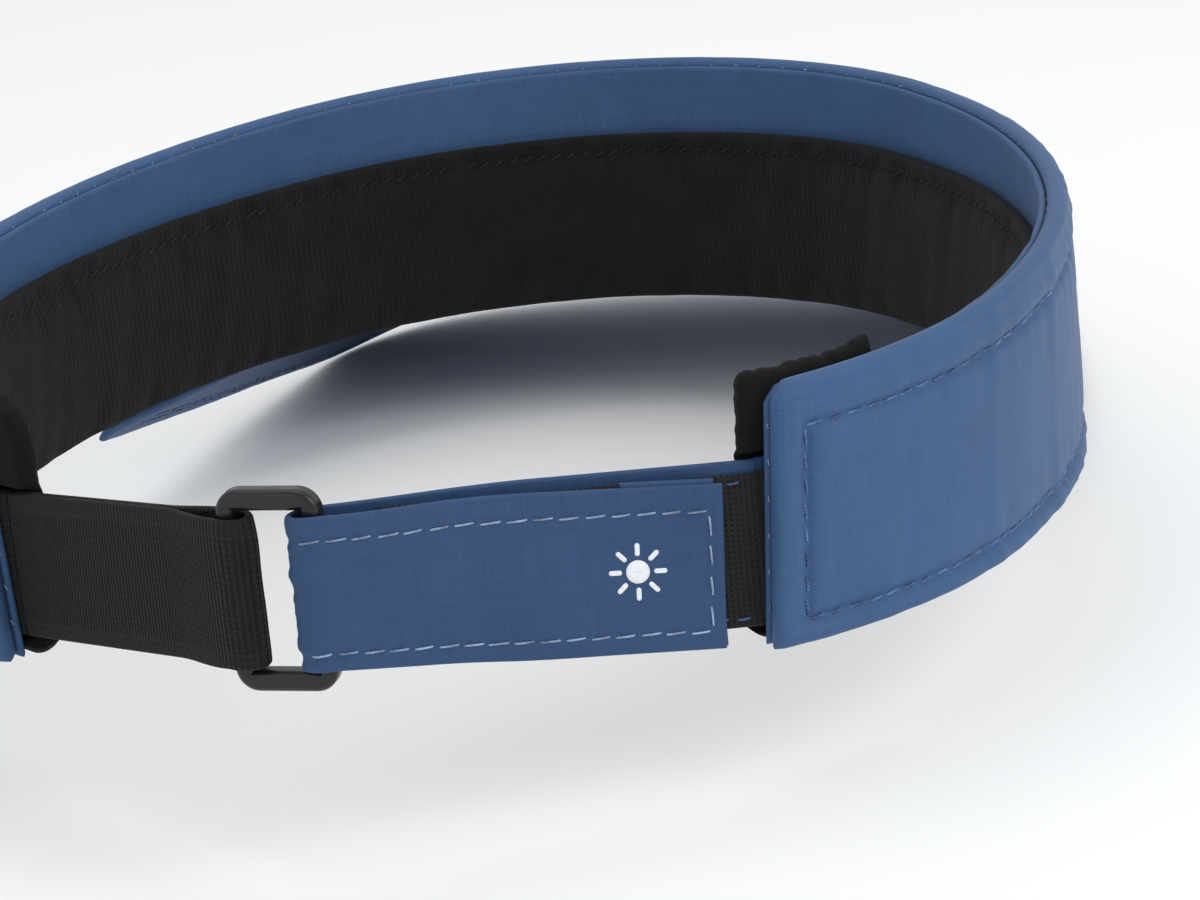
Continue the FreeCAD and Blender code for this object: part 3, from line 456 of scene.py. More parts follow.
def knit(name, colour, wale=0.8, relief=0.12, fuzz=0.03):
    """Brushed jersey: columns of loops under a fuzzy nap."""
    f = Finish(name, Sheen_Weight=fuzz, Sheen_Roughness=0.6, Specular_IOR_Level=0.08, Roughness=0.9)
    column = f.wave(f.u, wale)
    lean = f.times(f.node("Math", column, operation="ABSOLUTE"), wale * 0.5)
    loops = f.wave(f.sum(f.v, lean), wale * 0.8)
    nap = f.noise(1.0, 5.0, (1.8, 1.8), 0.7)
    blotch = f.noise(140.0, 3.0)
    relief_map = f.sum(f.sum(f.times(column, 0.2), f.times(loops, 0.2)), nap)
    tone = f.sum(f.times(nap, 0.6), f.times(blotch, 0.4))
    f.set(Base_Color=f.tones(f.range(tone, 0, 1, 0.3, 0.7), colour, 0.55, 1.6))
    f.set(Normal=f.bump(relief_map, relief))
    return f.material


def tape_pile(name, colour, pitch, height, gloss):
    """Hook or loop tape: rows of small knots on a woven ground."""
    f = Finish(name, Sheen_Weight=0.08, Sheen_Roughness=0.5, Specular_IOR_Level=gloss, Roughness=0.7)
    row = f.wave(f.u, pitch)
    step = f.wave(f.v, pitch * 0.9)
    grain = f.noise(1.0, 4.0, (2.2, 2.2), 0.65)
    knots = f.sum(f.times(f.times(row, step), 0.5), f.sum(f.times(row, 0.4), f.times(grain, 0.8)))
    # The colour follows the knots' relief: painted highlights on their tops and painted shade in the ground
    # between them.
    f.set(Base_Color=f.tones(f.range(knots, 0, 1, -0.3, 1.1), colour, 0.4, 1.8))
    f.set(Normal=f.bump(knots, height))
    return f.material


def moulded(name, colour):
    """Satin black acetal with a fine moulded grain and slightly rubbed, shinier patches."""
    f = Finish(name, Specular_IOR_Level=0.32, Coat_Weight=0.12, Coat_Roughness=0.12)
    grain = f.noise(2600.0, 3.0)
    rub = f.noise(160.0, 3.0)
    f.set(Base_Color=f.tones(rub, colour, 0.85, 1.2))
    f.set(Roughness=f.range(rub, 0.24, 0.36, 0.35, 0.65))
    f.set(Normal=f.bump(grain, 0.008))
    return f.material


def thread_finish(name, colour):
    """Twisted sewing thread."""
    f = Finish(name, Sheen_Weight=0.05, Sheen_Roughness=0.4, Specular_IOR_Level=0.3, Roughness=0.5)
    twist = f.node("Math", f.sum(f.times(f.u, 2 * math.pi / 0.5), f.times(f.v, 2.0)), operation="SINE")
    # Stitches lighter and darker at random: painted light and shade, standing in for lit and shaded stitches.
    mottle = f.tones(f.range(f.noise(420.0, 2.0), 0, 1, 0.35, 0.65), colour, 0.55, 1.25)
    # Darker in the twist's grooves, where its relief is low: painted shade.
    f.set(Base_Color=f.mix(f.range(twist, 0, 1, -1, 1), f.mix(0.45, mottle, (0, 0, 0, 1)), mottle))
    f.set(Normal=f.bump(twist, 0.05))
    return f.material


def printed(name, colour):
    """A thick screen print that shows some of the weave."""
    f = Finish(name, Specular_IOR_Level=0.4)
    check = f.times(f.wave(f.u, 0.72), f.wave(f.v, 0.72))
    mottle = f.noise(1.0, 4.0, (1.4, 1.4), 0.6)
    f.set(Base_Color=f.mix(f.range(mottle, 0, 1, 0.25, 0.6), shade(colour, 0.88), colour))
    f.set(Roughness=f.range(mottle, 0.4, 0.6))
    f.set(Normal=f.bump(f.sum(check, mottle), 0.02))
    return f.material


BAND_BLUE = (0.0445, 0.1025, 0.2275, 1.0)
# The strap's blue is the band's blue made darker. This is painted shade, laid on the strap, the tab, its hem
# and the strap's root.
STRAP_BLUE_SHADED = (0.0292, 0.0700, 0.1655, 1.0)
LINING_BLUE = (0.0410, 0.0935, 0.2060, 1.0)
BLACK = (0.0130, 0.0130, 0.0145, 1.0)

band_cloth = woven("band_cloth", BAND_BLUE, crease=0.10)
# The strap's cloth is the band's cloth with painted shade in its colour.
strap_cloth_shaded = woven("strap_cloth_shaded", STRAP_BLUE_SHADED, crease=0.04)
lining_cloth = woven("lining_cloth", LINING_BLUE, pitch=0.2, roughness=0.62, crease=0.08)
black_knit = knit("brushed_knit", shade(BLACK, 0.5))
sweat_knit = knit("sweatband_knit", shade(BLACK, 0.7), wale=1.1, relief=0.2, fuzz=0.05)
webbing_weave = ribbed_webbing("ribbed_webbing", shade(BLACK, 0.7))
loop_pile = tape_pile("loop_pile", shade(BLACK, 0.7), 0.8, 0.16, 0.25)
hook_pile = tape_pile("hook_pile", shade(BLACK, 1.3), 1.3, 0.30, 0.6)
ring_plastic = moulded("satin_plastic", shade(BLACK, 0.8))
band_thread = thread_finish("band_thread", (0.115, 0.215, 0.460, 1.0))
strap_thread = thread_finish("strap_thread", (0.38, 0.50, 0.73, 1.0))
black_thread = thread_finish("black_thread", shade(BLACK, 1.6))
white_print = printed("white_print", (0.80, 0.83, 0.88, 1.0))


# Band shell: the outer panel over its foam, topstitched all round.

TOP_INSET, BOTTOM_INSET, END_INSET = 6.3, 3.3, 4.4
BAND_PITCH = 3.0


def band_height(u):
    low, high = band_levels(u)
    return high - low


def shell_place(u, v, depth):
    low, high = band_levels(u)
    return band_point(u, low + (high - low) * v, depth)


def inside_stitching(u, v):
    """How far a place lies inside the stitched outline, negative outside it, and its run along that."""
    height = band_height(u)
    ends = np.minimum(u, BAND_LENGTH - u) - END_INSET
    rows = np.minimum((1 - v) * height - TOP_INSET, v * height - BOTTOM_INSET)
    return np.minimum(rows, ends), np.where(ends < rows, v * height, u)


def shell_relief(u, v):
    """How far the outer panel stands out: foam between the seams, grooves and ripples along them."""
    inside, run = inside_stitching(u, v)
    height = band_height(u)
    groove = -0.56 * np.exp(-((inside / 0.8) ** 2))
    filled = 0.42 * (1 - np.exp(-np.maximum(inside, 0) / 2.5))
    border = 0.5 * np.sin(math.pi * np.clip(-inside / 4.4, 0, 1))
    folds = ripple(u + 1.2 * np.sin(v * 5), (5.6, 7.9, 11.7, 17.3), 3)
    beside = np.exp(-np.abs(inside) / 6.0)
    slow = ripple(u + 4 * v * height / 10, (38.0, 61.0, 90.0), 8)
    stitch = 0.5 + 0.5 * np.cos(2 * math.pi * run / BAND_PITCH)
    pinches = -0.16 * stitch * np.exp(-np.abs(inside) / 1.6)
    return groove + filled + border + folds * (0.05 + 0.22 * beside) + 0.14 * slow + pinches


def build_shell():
    us = lattice(BAND_LENGTH, 0.95, 1.1, (END_INSET, BAND_LENGTH - END_INSET))
    vs = lattice(END_HEIGHT, 0.95, 1.1, (BOTTOM_INSET, END_HEIGHT - TOP_INSET)) / END_HEIGHT
    shape = panel(us, vs, shell_place, lambda u, v: -shell_relief(u, v), LINING_DEPTH, 1.1, band_height)
    shell = make("band_outer_fabric", shape, band_cloth, "band", ("band_shell", "band_foam"))


def shell_face(u, v):
    return shell_place(u, v, -shell_relief(u, v))


def build_shell_stitching():
    inner_u = np.arange(END_INSET, BAND_LENGTH - END_INSET + 0.25, 0.5)
    height = band_height(inner_u)
    rows = [(inner_u, 1 - TOP_INSET / height), (inner_u, BOTTOM_INSET / height)]
    for u in (END_INSET, BAND_LENGTH - END_INSET):
        end_height = float(band_height(np.array([u]))[0])
        v = np.linspace(BOTTOM_INSET / end_height, 1 - TOP_INSET / end_height, 60)
        rows.append((np.full_like(v, u), v))
    rows = [row_on(shell_face, u, v) for u, v in rows]
    shape = threads(rows, pitch=BAND_PITCH, length=2.65, radius=0.23, seed=4)
    make("band_topstitching", shape, band_thread, "band")


# Lining, inside the shell, with a slit and fine edge stitches between the two at their folded edges.

LINING_DROP = 1.0


def lining_place(u, v, depth):
    _, high = band_levels(u)
    return band_point(u, (high - LINING_DROP) * v, depth)


def lining_height(u):
    return band_levels(u)[1] - LINING_DROP


def lining_relief(u, v):
    folds = ripple(u + 2 * np.sin(v * 4), (8.3, 12.1, 19.7), 12)
    return INNER_FACE + 0.16 * folds * np.exp(-(1 - v) * 4)


def build_lining():
    us = lattice(BAND_LENGTH, 1.2, 0.6)
    vs = lattice(END_HEIGHT, 1.2, 0.6) / END_HEIGHT
    shape = panel(us, vs, lining_place, LINING_DEPTH + 0.12, lining_relief, 0.6, lining_height)
    make("band_lining_fabric", shape, lining_cloth, "band", ("band_lining",))
    rows = []
    for u_end, outwards in ((0.35, -1.0), (BAND_LENGTH - 0.35, 1.0)):
        v = np.linspace(0.08, 0.97, 50)
        points = lining_place(np.full_like(v, u_end), v, LINING_DEPTH + 0.05)
        x, y = outline(np.array([u_end, u_end + 0.1]), LINING_DEPTH)
        normal = outwards * np.array([x[1] - x[0], y[1] - y[0], 0]) / 0.1
        rows.append((points, np.tile(normal, (len(v), 1))))
    u = np.linspace(1.0, BAND_LENGTH - 1.0, 900)
    rows.append((lining_place(u, 1 + 0 * u, LINING_DEPTH - 0.1), np.tile([0.0, 0, 1], (len(u), 1))))
    shape = threads(rows, pitch=4.4, length=0.8, radius=0.10, slant=0.15, seed=9)
    make("band_edge_stitching", shape, strap_thread, "band")


# Padded pieces swell as cloth, blown up from inside and held along their seams.

SWELL_SCALE = 20.0  # the pieces are simulated this much larger, the size of a cushion
SWELL_FRAMES, SWELL_PRESSURE = 20, 4.0


def points_of(mesh):
    points = np.zeros(len(mesh.vertices) * 3, np.float32)
    mesh.vertices.foreach_get("co", points)
    return points.reshape(-1, 3).astype(float)


def far_face(shape, us, vs):
    """Which points of a panel lie on its far face, inside the border."""
    return np.arange(len(shape[0])) >= len(us) * len(vs)


def swell(thing, held, growth, most):
    """Lets a closed piece swell where it isn't held, growing by a share, moving at most most millimetres."""
    scene = bpy.context.scene
    before = points_of(thing.data)
    balloon = added("balloon", thing.data.copy())
    balloon.data.vertices.foreach_set("co", (before * SWELL_SCALE).astype(np.float32).ravel())
    pins = balloon.vertex_groups.new(name="held")
    pins.add(np.flatnonzero(held).tolist(), 1.0, "REPLACE")
    cloth = balloon.modifiers.new("cloth", "CLOTH")
    cloth.settings.vertex_group_mass = pins.name
    cloth.settings.use_pressure = True
    cloth.settings.uniform_pressure_force = SWELL_PRESSURE
    cloth.settings.shrink_min = -growth
    cloth.settings.effector_weights.gravity = 0.0
    cloth.collision_settings.use_collision = False
    cloth.point_cache.frame_start = 1
    cloth.point_cache.frame_end = SWELL_FRAMES
    for number in range(1, SWELL_FRAMES + 1):
        scene.frame_set(number)
    swollen = balloon.evaluated_get(bpy.context.evaluated_depsgraph_get())
    move = points_of(swollen.data) / SWELL_SCALE - before
    reach = np.linalg.norm(move, axis=1, keepdims=True)
    move *= np.minimum(1, most * MM / np.maximum(reach, 1e-9))
    thing.data.vertices.foreach_set("co", (before + move).astype(np.float32).ravel())
    thing.data.update()
    bpy.data.meshes.remove(balloon.data)
    scene.frame_set(1)


# Sweatband.

SEAM_DROP = 3.0  # how far its seam lies below its top edge


def build_sweatband():
    start = along(SWEATBAND_HEADING)
    length = BAND_LENGTH - 2 * start
    height = SWEATBAND_HEIGHT

    def place(u, v, depth):
        x, y = outline(start + u, depth)
        return np.stack([x, y, height * v + 0 * x], -1)

    def face(u, v):
        soft = 0.25 * ripple(u, (14.0, 23.0, 41.0), 21) + 0.12 * ripple(u + 9 * v, (6.5, 9.1), 22)
        seam = 0.5 * np.exp(-(((1 - v) * height - SEAM_DROP) / 0.7) ** 2)
        return INNER_FACE + SWEATBAND_PLY - 0.15 + soft - seam

    us = lattice(length, 1.3, 1.2)
    vs = lattice(height, 1.3, 1.2, (height - SEAM_DROP,)) / height
    shape = panel(us, vs, place, INNER_FACE + 0.15, face, 1.2, height)
    band = make("sweatband_fabric", shape, sweat_knit, "band", ("sweatband",))
    level = shape[2][:, 1]
    from_top = height - level
    free = far_face(shape, us, vs) & (np.abs(from_top - SEAM_DROP) > 0.8) & (from_top > 1.0) & (level > 1.0)
    swell(band, ~free, 0.03, 0.7)
    u = np.linspace(1.5, length - 1.5, 1400)
    row = row_on(lambda a, b: place(a, b, face(a, b)), u, 1 - SEAM_DROP / height + 0 * u, -1.0)
    make("sweatband_seam", threads([row], 2.4, 1.8, 0.2, 0.5, 31), black_thread, "band")


# End pads of brushed knit behind the band's two ends.

CHANNEL_EASE = 1.0  # room in the pads' channels above and below the strap and the webbing


def build_end_pad(name, left, node, level, channel, overhang, lean, bottom_corner, top_corner):
    """A pad with a channel for the strap or the webbing at a level.

    overhang is how far, in degrees, it reaches past the band's end, and lean how much further its
    bottom does.
    """
    first = -overhang * math.radians(REAR_RADIUS)
    length, height = along(PAD_FRONT_HEADING) - first, PAD_HEIGHT

    def place(u, v, depth):
        z = v * height
        low = np.clip(bottom_corner - z, 0, bottom_corner)
        high = np.clip(z - (height - top_corner), 0, top_corner)
        cut = bottom_corner - np.sqrt(np.maximum(bottom_corner**2 - low**2, 0))
        cut = cut + top_corner - np.sqrt(np.maximum(top_corner**2 - high**2, 0))
        ragged = 0.22 * ripple(z, (1.9, 3.1, 5.7), 41) * np.exp(-u / 2)
        s = first + u + (cut + ragged - lean * (1 - v)) * np.clip(1 - u / 16, 0, 1)
        rise = 0.35 * ripple(u, (2.3, 3.7, 8.1), 43) * np.exp(-(1 - v) * height / 2)
        rise = rise + 0.9 * np.exp(-(((u - length + 0.8) / 1.6) ** 2) - (1 - v) * height / 3)
        x, y = outline(BAND_LENGTH - s if left else s, depth)
        return np.stack([x, y, z + rise], -1)

    def outer(u, v):
        beside = np.abs(v * height - level) - channel / 2 - CHANNEL_EASE
        sewn = rounded(np.clip(-beside / 0.8, 0, 1)) * np.clip((24.0 - u) / 5, 0, 1)
        return INNER_FACE + 0.12 + (PAD_CHANNEL - INNER_FACE - 0.12) * sewn

    def inner(u, v):
        lumps = 0.18 * ripple(u + 3 * v, (4.3, 7.7, 12.9), 45) + 0.15 * ripple(v * height, (5.1, 9.3), 46)
        return PAD_DEPTH + lumps

    lines = (level - channel / 2 - CHANNEL_EASE, level + channel / 2 + CHANNEL_EASE)
    us = lattice(length, 0.8, 1.5)
    vs = lattice(height, 0.8, 1.5, lines) / height
    shape = panel(us, vs, place, outer, inner, 1.5, height)
    pad = make(name, shape, black_knit, "band", (node,))
    u, z = shape[2].T
    edge = np.minimum(np.minimum(u, length - u), np.minimum(z, height - z))
    swell(pad, ~(far_face(shape, us, vs) & (edge > 1.5)), 0.04, 1.2)


# Brim.


def brim_rim():
    """The rim in plan, as a dense line from the wearer's right end to the left."""
    step = BRIM_FRONT_RADIUS - BRIM_CORNER_RADIUS
    front = np.array([0.0, BRIM_FRONT_RADIUS - BRIM_FRONT])
    corner = front + step * np.array([sine(BRIM_FRONT_TURN), -cosine(BRIM_FRONT_TURN)])
    joint = corner + BRIM_CORNER_RADIUS * np.array([sine(BRIM_CORNER_TURN), -cosine(BRIM_CORNER_TURN)])
    inward = np.array([-sine(BRIM_CORNER_TURN), cosine(BRIM_CORNER_TURN)])
    end = np.array(outline(np.array(BAND_LENGTH - along(BRIM_END_HEADING)), 0.0))
    chord = end - joint
    radius = chord @ chord / (2 * chord @ inward)
    centre = joint + inward * radius
    last = math.degrees(math.atan2(*(end - centre)[::-1]))
    arcs = [
        (front, BRIM_FRONT_RADIUS, -90, BRIM_FRONT_TURN - 90),
        (corner, BRIM_CORNER_RADIUS, BRIM_FRONT_TURN - 90, BRIM_CORNER_TURN - 90),
        (centre, radius, BRIM_CORNER_TURN - 90, last),
    ]
    half = []
    for middle, reach, a, b in arcs:
        angle = np.radians(np.linspace(a, b, 200))
        half.append(middle + reach * np.stack([np.cos(angle), np.sin(angle)], -1))
    half = np.concatenate([half[0], half[1][1:], half[2][1:]])
    return np.concatenate([half[::-1] * (-1, 1), half[1:]])


RIM = brim_rim()
RIM_RUN = run_along(RIM)
RIM_LENGTH = RIM_RUN[-1]


def brim_lines(u):
    """Points of the brim's rim and of its inner edge under the band, in plan."""
    rim = np.stack([np.interp(u, RIM_RUN, RIM[:, i]) for i in range(2)], -1)
    start = along(BRIM_END_HEADING)
    s = start + u / RIM_LENGTH * (BAND_LENGTH - 2 * start)
    return rim, np.stack(outline(s, LINING_DEPTH), -1)


def brim_width(u):
    rim, inner = brim_lines(u)
    return np.linalg.norm(rim - inner, axis=-1)


def brim_place(u, v, depth):
    rim, inner = brim_lines(u)
    x, y = np.moveaxis(inner + (rim - inner) * v[..., None], -1, 0)
    return np.stack([x, y, brim_level(x, y, depth)], -1)


RIM_ROWS = (4.5, 7.5)


def brim_relief(u, v):
    """Grooves along the rim's stitching and faint waves of the cloth."""
    from_rim = (1 - v) * brim_width(u)
    grooves = sum(0.18 * np.exp(-(((from_rim - row) / 0.7) ** 2)) for row in RIM_ROWS)
    folds = ripple(u, (6.3, 9.7, 15.1), 51) * np.exp(-np.abs(from_rim - 4) / 4)
    slow = ripple(u + 0.7 * from_rim, (47.0, 73.0), 52)
    return grooves - 0.06 * folds - 0.10 * slow


def build_brim():
    us = lattice(RIM_LENGTH, 1.3, 0.9)
    wide = float(brim_width(np.array(RIM_LENGTH / 2)))
    vs = lattice(wide, 1.5, 0.9, [wide - row for row in RIM_ROWS], fine=0.45) / wide
    middle, bottom = BRIM_THICKNESS / 2, BRIM_THICKNESS
    top = panel(us, vs, brim_place, brim_relief, middle - 0.02, 0.9, brim_width)
    below = panel(
        us, vs, brim_place, middle + 0.02, lambda u, v: bottom - brim_relief(u, v), 0.9, brim_width
    )
    make("brim_upper_fabric", top, band_cloth, "band", ("brim_top_cover", "brim_board"))
    make("brim_lower_fabric", below, lining_cloth, "band", ("brim_bottom_cover",))
    rows = []
    for side, face in (
        (1.0, lambda u, v: brim_place(u, v, brim_relief(u, v))),
        (-1.0, lambda u, v: brim_place(u, v, bottom - brim_relief(u, v))),
    ):
        for inset in RIM_ROWS:
            u = np.arange(0, RIM_LENGTH, 0.5)
            u = u[brim_width(u) > inset + 4.0]
            points, normals = row_on(face, u, 1 - inset / brim_width(u))
            rows.append((points, normals * side * np.sign(normals[:, 2:].mean())))
    make("brim_topstitching", threads(rows, pitch=3.1, seed=14), band_thread, "band")


# Strap, tab and tapes, in the strap's frame: x from its root towards the ring, y outwards.


def flat_frame(x, y, z, degrees):
    """A function that turns points of a flat frame into the visor's."""
    turn = np.array([[cosine(degrees), sine(degrees), 0], [-sine(degrees), cosine(degrees), 0], [0, 0, 1]])

    def to_visor(points):
        return np.asarray(points) @ turn + (x, y, z)

    return to_visor


STRAP_DEPTH = INNER_FACE + STRAP_PLY
END_X = REAR_X + REAR_RADIUS * sine(END_HEADING)
STRAP_X = STRAP_DEPTH * sine(END_HEADING) - END_X
STRAP_Y = END_LINE - STRAP_DEPTH * cosine(END_HEADING)
in_strap = flat_frame(STRAP_X, STRAP_Y, STRAP_LEVEL, STRAP_ANGLE)
RISE = RING_LEVEL - STRAP_LEVEL
RIGHT_BAR = in_strap([STRAP_REACH, FOLD_RADIUS, RISE])
in_ring = flat_frame(*RIGHT_BAR, RING_ANGLE)
LEFT_BAR = in_ring([RING_PITCH, 0, 0])
in_webbing = flat_frame(*LEFT_BAR, WEBBING_ANGLE)


def smooth(t, start, end):
    share = np.clip((t - start) / (end - start), 0, 1)
    return share * share * (3 - 2 * share)


def ribbon(line, side):
    """A line in plan, its unit normals, to its left for side 1 and its right for side -1, and its run."""
    run = run_along(line)
    tangent = np.gradient(line, run, axis=0)
    normal = side * np.stack([-tangent[:, 1], tangent[:, 0]], -1)
    return line, normal / np.linalg.norm(normal, axis=1, keepdims=True), run


def ribbon_at(path, u):
    """The point of a ribbon's line and its normal at a place along it, as x, y, x and y."""
    line, normal, run = path
    return [np.interp(u, run, values[:, i]) for values in (line, normal) for i in range(2)]


TAPE_TOP, TAPE_END, TAPE_PLY = 9.4, 48.0, 0.8
ROOT_LAP = -1.4  # where the strap starts, inside its sewn-in root


def strap_half(x):
    """Half the strap's width, drawn in where it enters the ring."""
    return (STRAP_WIDTH - STRAP_TAPER * smooth(x, 28.0, 58.0)) / 2


def leg_level(x):
    return RISE * x / STRAP_REACH


def tab_level(x):
    return TAB_TIP_LEVEL + (RISE - TAB_TIP_LEVEL) * (x - TAB_TIP) / (STRAP_REACH - TAB_TIP)


def flat_strip(start, end, low, high, level, near, far, edge, step=1.0):
    """A panel in the strap's frame, between low and high about a level line, y from near to far."""

    def place(x, v, y):
        bottom, top = value_at(low, x), value_at(high, x)
        return in_strap(np.stack([x, y, level(x) + bottom + (top - bottom) * v], -1))

    width = float(value_at(high, start + 1.0) - value_at(low, start + 1.0))
    us = start + lattice(end - start, step, edge)
    vs = lattice(width, step, edge) / width
    return panel(us, vs, place, near, far, edge, width)


def build_leg():
    def outer(x, v):
        return 0.06 * ripple(x, (9.0, 14.0), 61)

    shape = flat_strip(
        ROOT_LAP, STRAP_REACH, lambda x: -strap_half(x), strap_half, leg_level, outer, -STRAP_PLY, 0.38
    )
    make("strap_fabric", shape, strap_cloth_shaded, "strap", ("strap_leg",))

    tape = flat_strip(
        ROOT_LAP, TAPE_END, lambda x: -strap_half(x), TAPE_TOP, leg_level, 0.08, TAPE_PLY, 0.3
    )
    make("loop_tape_pile", tape, loop_pile, "strap", ("loop_tape",))
    rows = []
    for level in (-9.7, TAPE_TOP - 1.1):
        x = np.linspace(0.8, TAPE_END - 0.4, 120)
        points = in_strap(np.stack([x, TAPE_PLY + 0 * x, leg_level(x) + level], -1))
        normal = in_strap([0.0, 1, 0]) - in_strap([0.0, 0, 0])
        rows.append((points, np.tile(normal, (len(x), 1))))
    shape = threads(rows, pitch=2.9, length=1.9, radius=0.17, seed=6)
    make("tape_stitching", shape, band_thread, "strap")


FOLD_BULGE = 0.9
BAR_ROOM = 0.1  # how far the fold's gathers may press in towards the ring's bar
TAB_FLAT = 2.05  # depth of the tab's middle over the strap where it lies on the tapes


def tab_lift(x):
    """How far the tab rises off the tapes towards the ring."""
    return (2 * FOLD_RADIUS + STRAP_PLY / 2 - TAB_FLAT) * smooth(x, 36.0, 56.0)


def tab_path():
    """The middle line of the tab and its fold in plan: from the tab's tip round the ring's bar."""
    x = np.linspace(TAB_TIP, STRAP_REACH, 400)
    y = TAB_FLAT + tab_lift(x)
    angle = np.radians(np.linspace(90, -90, 120))[1:]
    radius = FOLD_RADIUS + STRAP_PLY / 2
    round_x = STRAP_REACH + (radius + FOLD_BULGE) * np.cos(angle)
    round_y = FOLD_RADIUS + radius * np.sin(angle)
    line = np.stack([np.concatenate([x, round_x]), np.concatenate([y, round_y])], -1)
    return ribbon(line, 1)


TAB_LEAN = 1.4  # how much further the top of the tab's end reaches than its bottom
TAB_PATH = tab_path()
TAB_LENGTH = TAB_PATH[2][-1]
FOLD_START = TAB_LENGTH - math.pi * (FOLD_RADIUS + STRAP_PLY / 2 + FOLD_BULGE / 2)


def tab_place(u, v, out):
    """A point of the tab and fold: u from the tip, v across from the bottom edge, out from its middle."""
    x, y, nx, ny = ribbon_at(TAB_PATH, u)
    x = x - TAB_LEAN * (v - 0.4) * (1 - smooth(u, 4.0, 34.0))
    along_x = np.minimum(x, STRAP_REACH)
    half = strap_half(np.where(u > FOLD_START, STRAP_REACH, along_x))
    level = tab_level(np.where(u > FOLD_START, STRAP_REACH, along_x))
    gather = np.exp(-np.maximum(FOLD_START + 1.5 - u, 0) / 3.5)
    crease = np.exp(-np.maximum(FOLD_START - u, 0) / 7.0)
    scallop = ripple(v * CROSS_SPAN, (3.1, 4.7, 8.7), 71) * 0.24 * gather
    lines = 0.10 * crease * ripple(v * CROSS_SPAN + 0.4 * np.sin(u / 3), (1.7, 2.3, 3.9), 72)
    gathers = scallop + lines
    out = out + np.where(out < 0, np.maximum(gathers, -BAR_ROOM), gathers)
    z = level + half * (2 * v - 1)
    return in_strap(np.stack([x + nx * out, y + ny * out, z], -1))


TAB_TOP, TAB_BOTTOM, TAB_END_INSET = 3.5, 2.5, 1.8  # where its stitching runs, from its edges
HOOK_START, HOOK_END, HOOK_WIDTH = 2.0, 44.0, 20.0
HEM_LENGTH, HEM_LOW, HEM_HIGH = 12.5, -10.8, 11.55
HEM_NEAR, HEM_FAR, HOOK_NEAR, HOOK_FAR = 1.28, 1.90, 0.88, 1.62


def tab_inside(u, v):
    """How far a place lies inside the tab's stitched outline."""
    across = v * STRAP_WIDTH
    rows = np.minimum(STRAP_WIDTH - TAB_TOP - across, across - TAB_BOTTOM)
    return np.minimum(rows, u - TAB_END_INSET)


def tab_outer(u, v):
    inside = tab_inside(u, v)
    groove = -0.16 * np.exp(-((inside / 0.55) ** 2))
    folds = ripple(u, (4.7, 6.9, 10.3), 73) * np.exp(-np.abs(inside) / 3.0)
    slow = ripple(u + 6 * v, (17.0, 31.0), 74)
    return STRAP_PLY / 2 + groove + 0.07 * folds + 0.08 * slow * (1 - np.exp(-u / 4))


def tab_face(u, v):
    return tab_place(u, v, tab_outer(u, v))


def build_tab():
    us = lattice(TAB_LENGTH, 0.6, 0.36, (TAB_END_INSET,), fine=0.3)
    vs = lattice(STRAP_WIDTH, 0.6, 0.36, (TAB_BOTTOM, STRAP_WIDTH - TAB_TOP), fine=0.3) / STRAP_WIDTH
    shape = panel(us, vs, tab_place, tab_outer, -STRAP_PLY / 2, 0.36, STRAP_WIDTH)
    tab = make("tab_fabric", shape, strap_cloth_shaded, None, ("strap_tab", "strap_fold"))
    across = Vector(in_strap([-0.2, 0.98, 0.0]) - in_strap([0.0, 0, 0])) * MM
    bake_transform(tab)

    hem = flat_strip(
        TAB_TIP + 0.15, TAB_TIP + HEM_LENGTH, HEM_LOW, HEM_HIGH, tab_level, HEM_NEAR, HEM_FAR, 0.28, 0.8
    )
    make("tab_hem_fabric", hem, strap_cloth_shaded, "tab")
    hook = flat_strip(
        TAB_TIP + HOOK_START, HOOK_END, -HOOK_WIDTH / 2, HOOK_WIDTH / 2, tab_level,
        lambda x, v: HOOK_NEAR + tab_lift(x), lambda x, v: HOOK_FAR + tab_lift(x), 0.25,
    )
    make("hook_tape_pile", hook, hook_pile, "tab", ("hook_tape",))

    rows = []
    run = np.arange(TAB_END_INSET, FOLD_START + 3.2, 0.4)
    for level in (STRAP_WIDTH - TAB_TOP, TAB_BOTTOM):
        rows.append((run, level / STRAP_WIDTH + 0 * run))
    v = np.linspace(TAB_BOTTOM, STRAP_WIDTH - TAB_TOP, 50) / STRAP_WIDTH
    rows.append((TAB_END_INSET + 0 * v, v))
    rows = [row_on(tab_face, u, v, -1.0) for u, v in rows]
    shape = threads(rows, pitch=3.3, radius=0.15, length=3.0, slant=0.12, seed=17)
    stitching = make("tab_topstitching", shape, strap_thread, None, ("tab_stitching",))
    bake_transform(stitching)


# Printed marks, laid on the cloth: flat shapes with a little thickness.

SUN_CENTRE, SUN_RADIUS = 16.4, 1.55
RAY_START, RAY_END, RAY_HALF = 2.4, 3.5, 0.32
BAR_WIDTH, BAR_HEIGHT, BAR_LEVEL = 1.6, 6.0, 17.0


def raised_print(outlines, face, ply, outwards):
    """Shapes from outlines of (u, v) places on a face, each a closed fan about its middle."""
    shapes = []
    for u, v in outlines:
        count = len(u)
        middle_u, middle_v = u.mean(), v.mean()
        layers = []
        for share, lift in ((1.0, 0.0), (0.97, ply), (0.5, ply), (0.02, ply)):
            a = middle_u + (u - middle_u) * share
            b = middle_v + (v - middle_v) * share
            layers.append(face(a, b) + outwards * normals_of(face, a, b) * lift)
        points = np.concatenate(layers)
        index = np.arange(len(points)).reshape(len(layers), count)
        after = np.roll(index, -1, axis=1)
        quads = np.stack([index[:-1], after[:-1], after[1:], index[1:]], -1).reshape(-1, 4)
        cloth = np.tile(np.stack([u, v * CROSS_SPAN], -1), (len(layers), 1))
        shapes.append((points, quads, cloth))
    return joined(shapes)


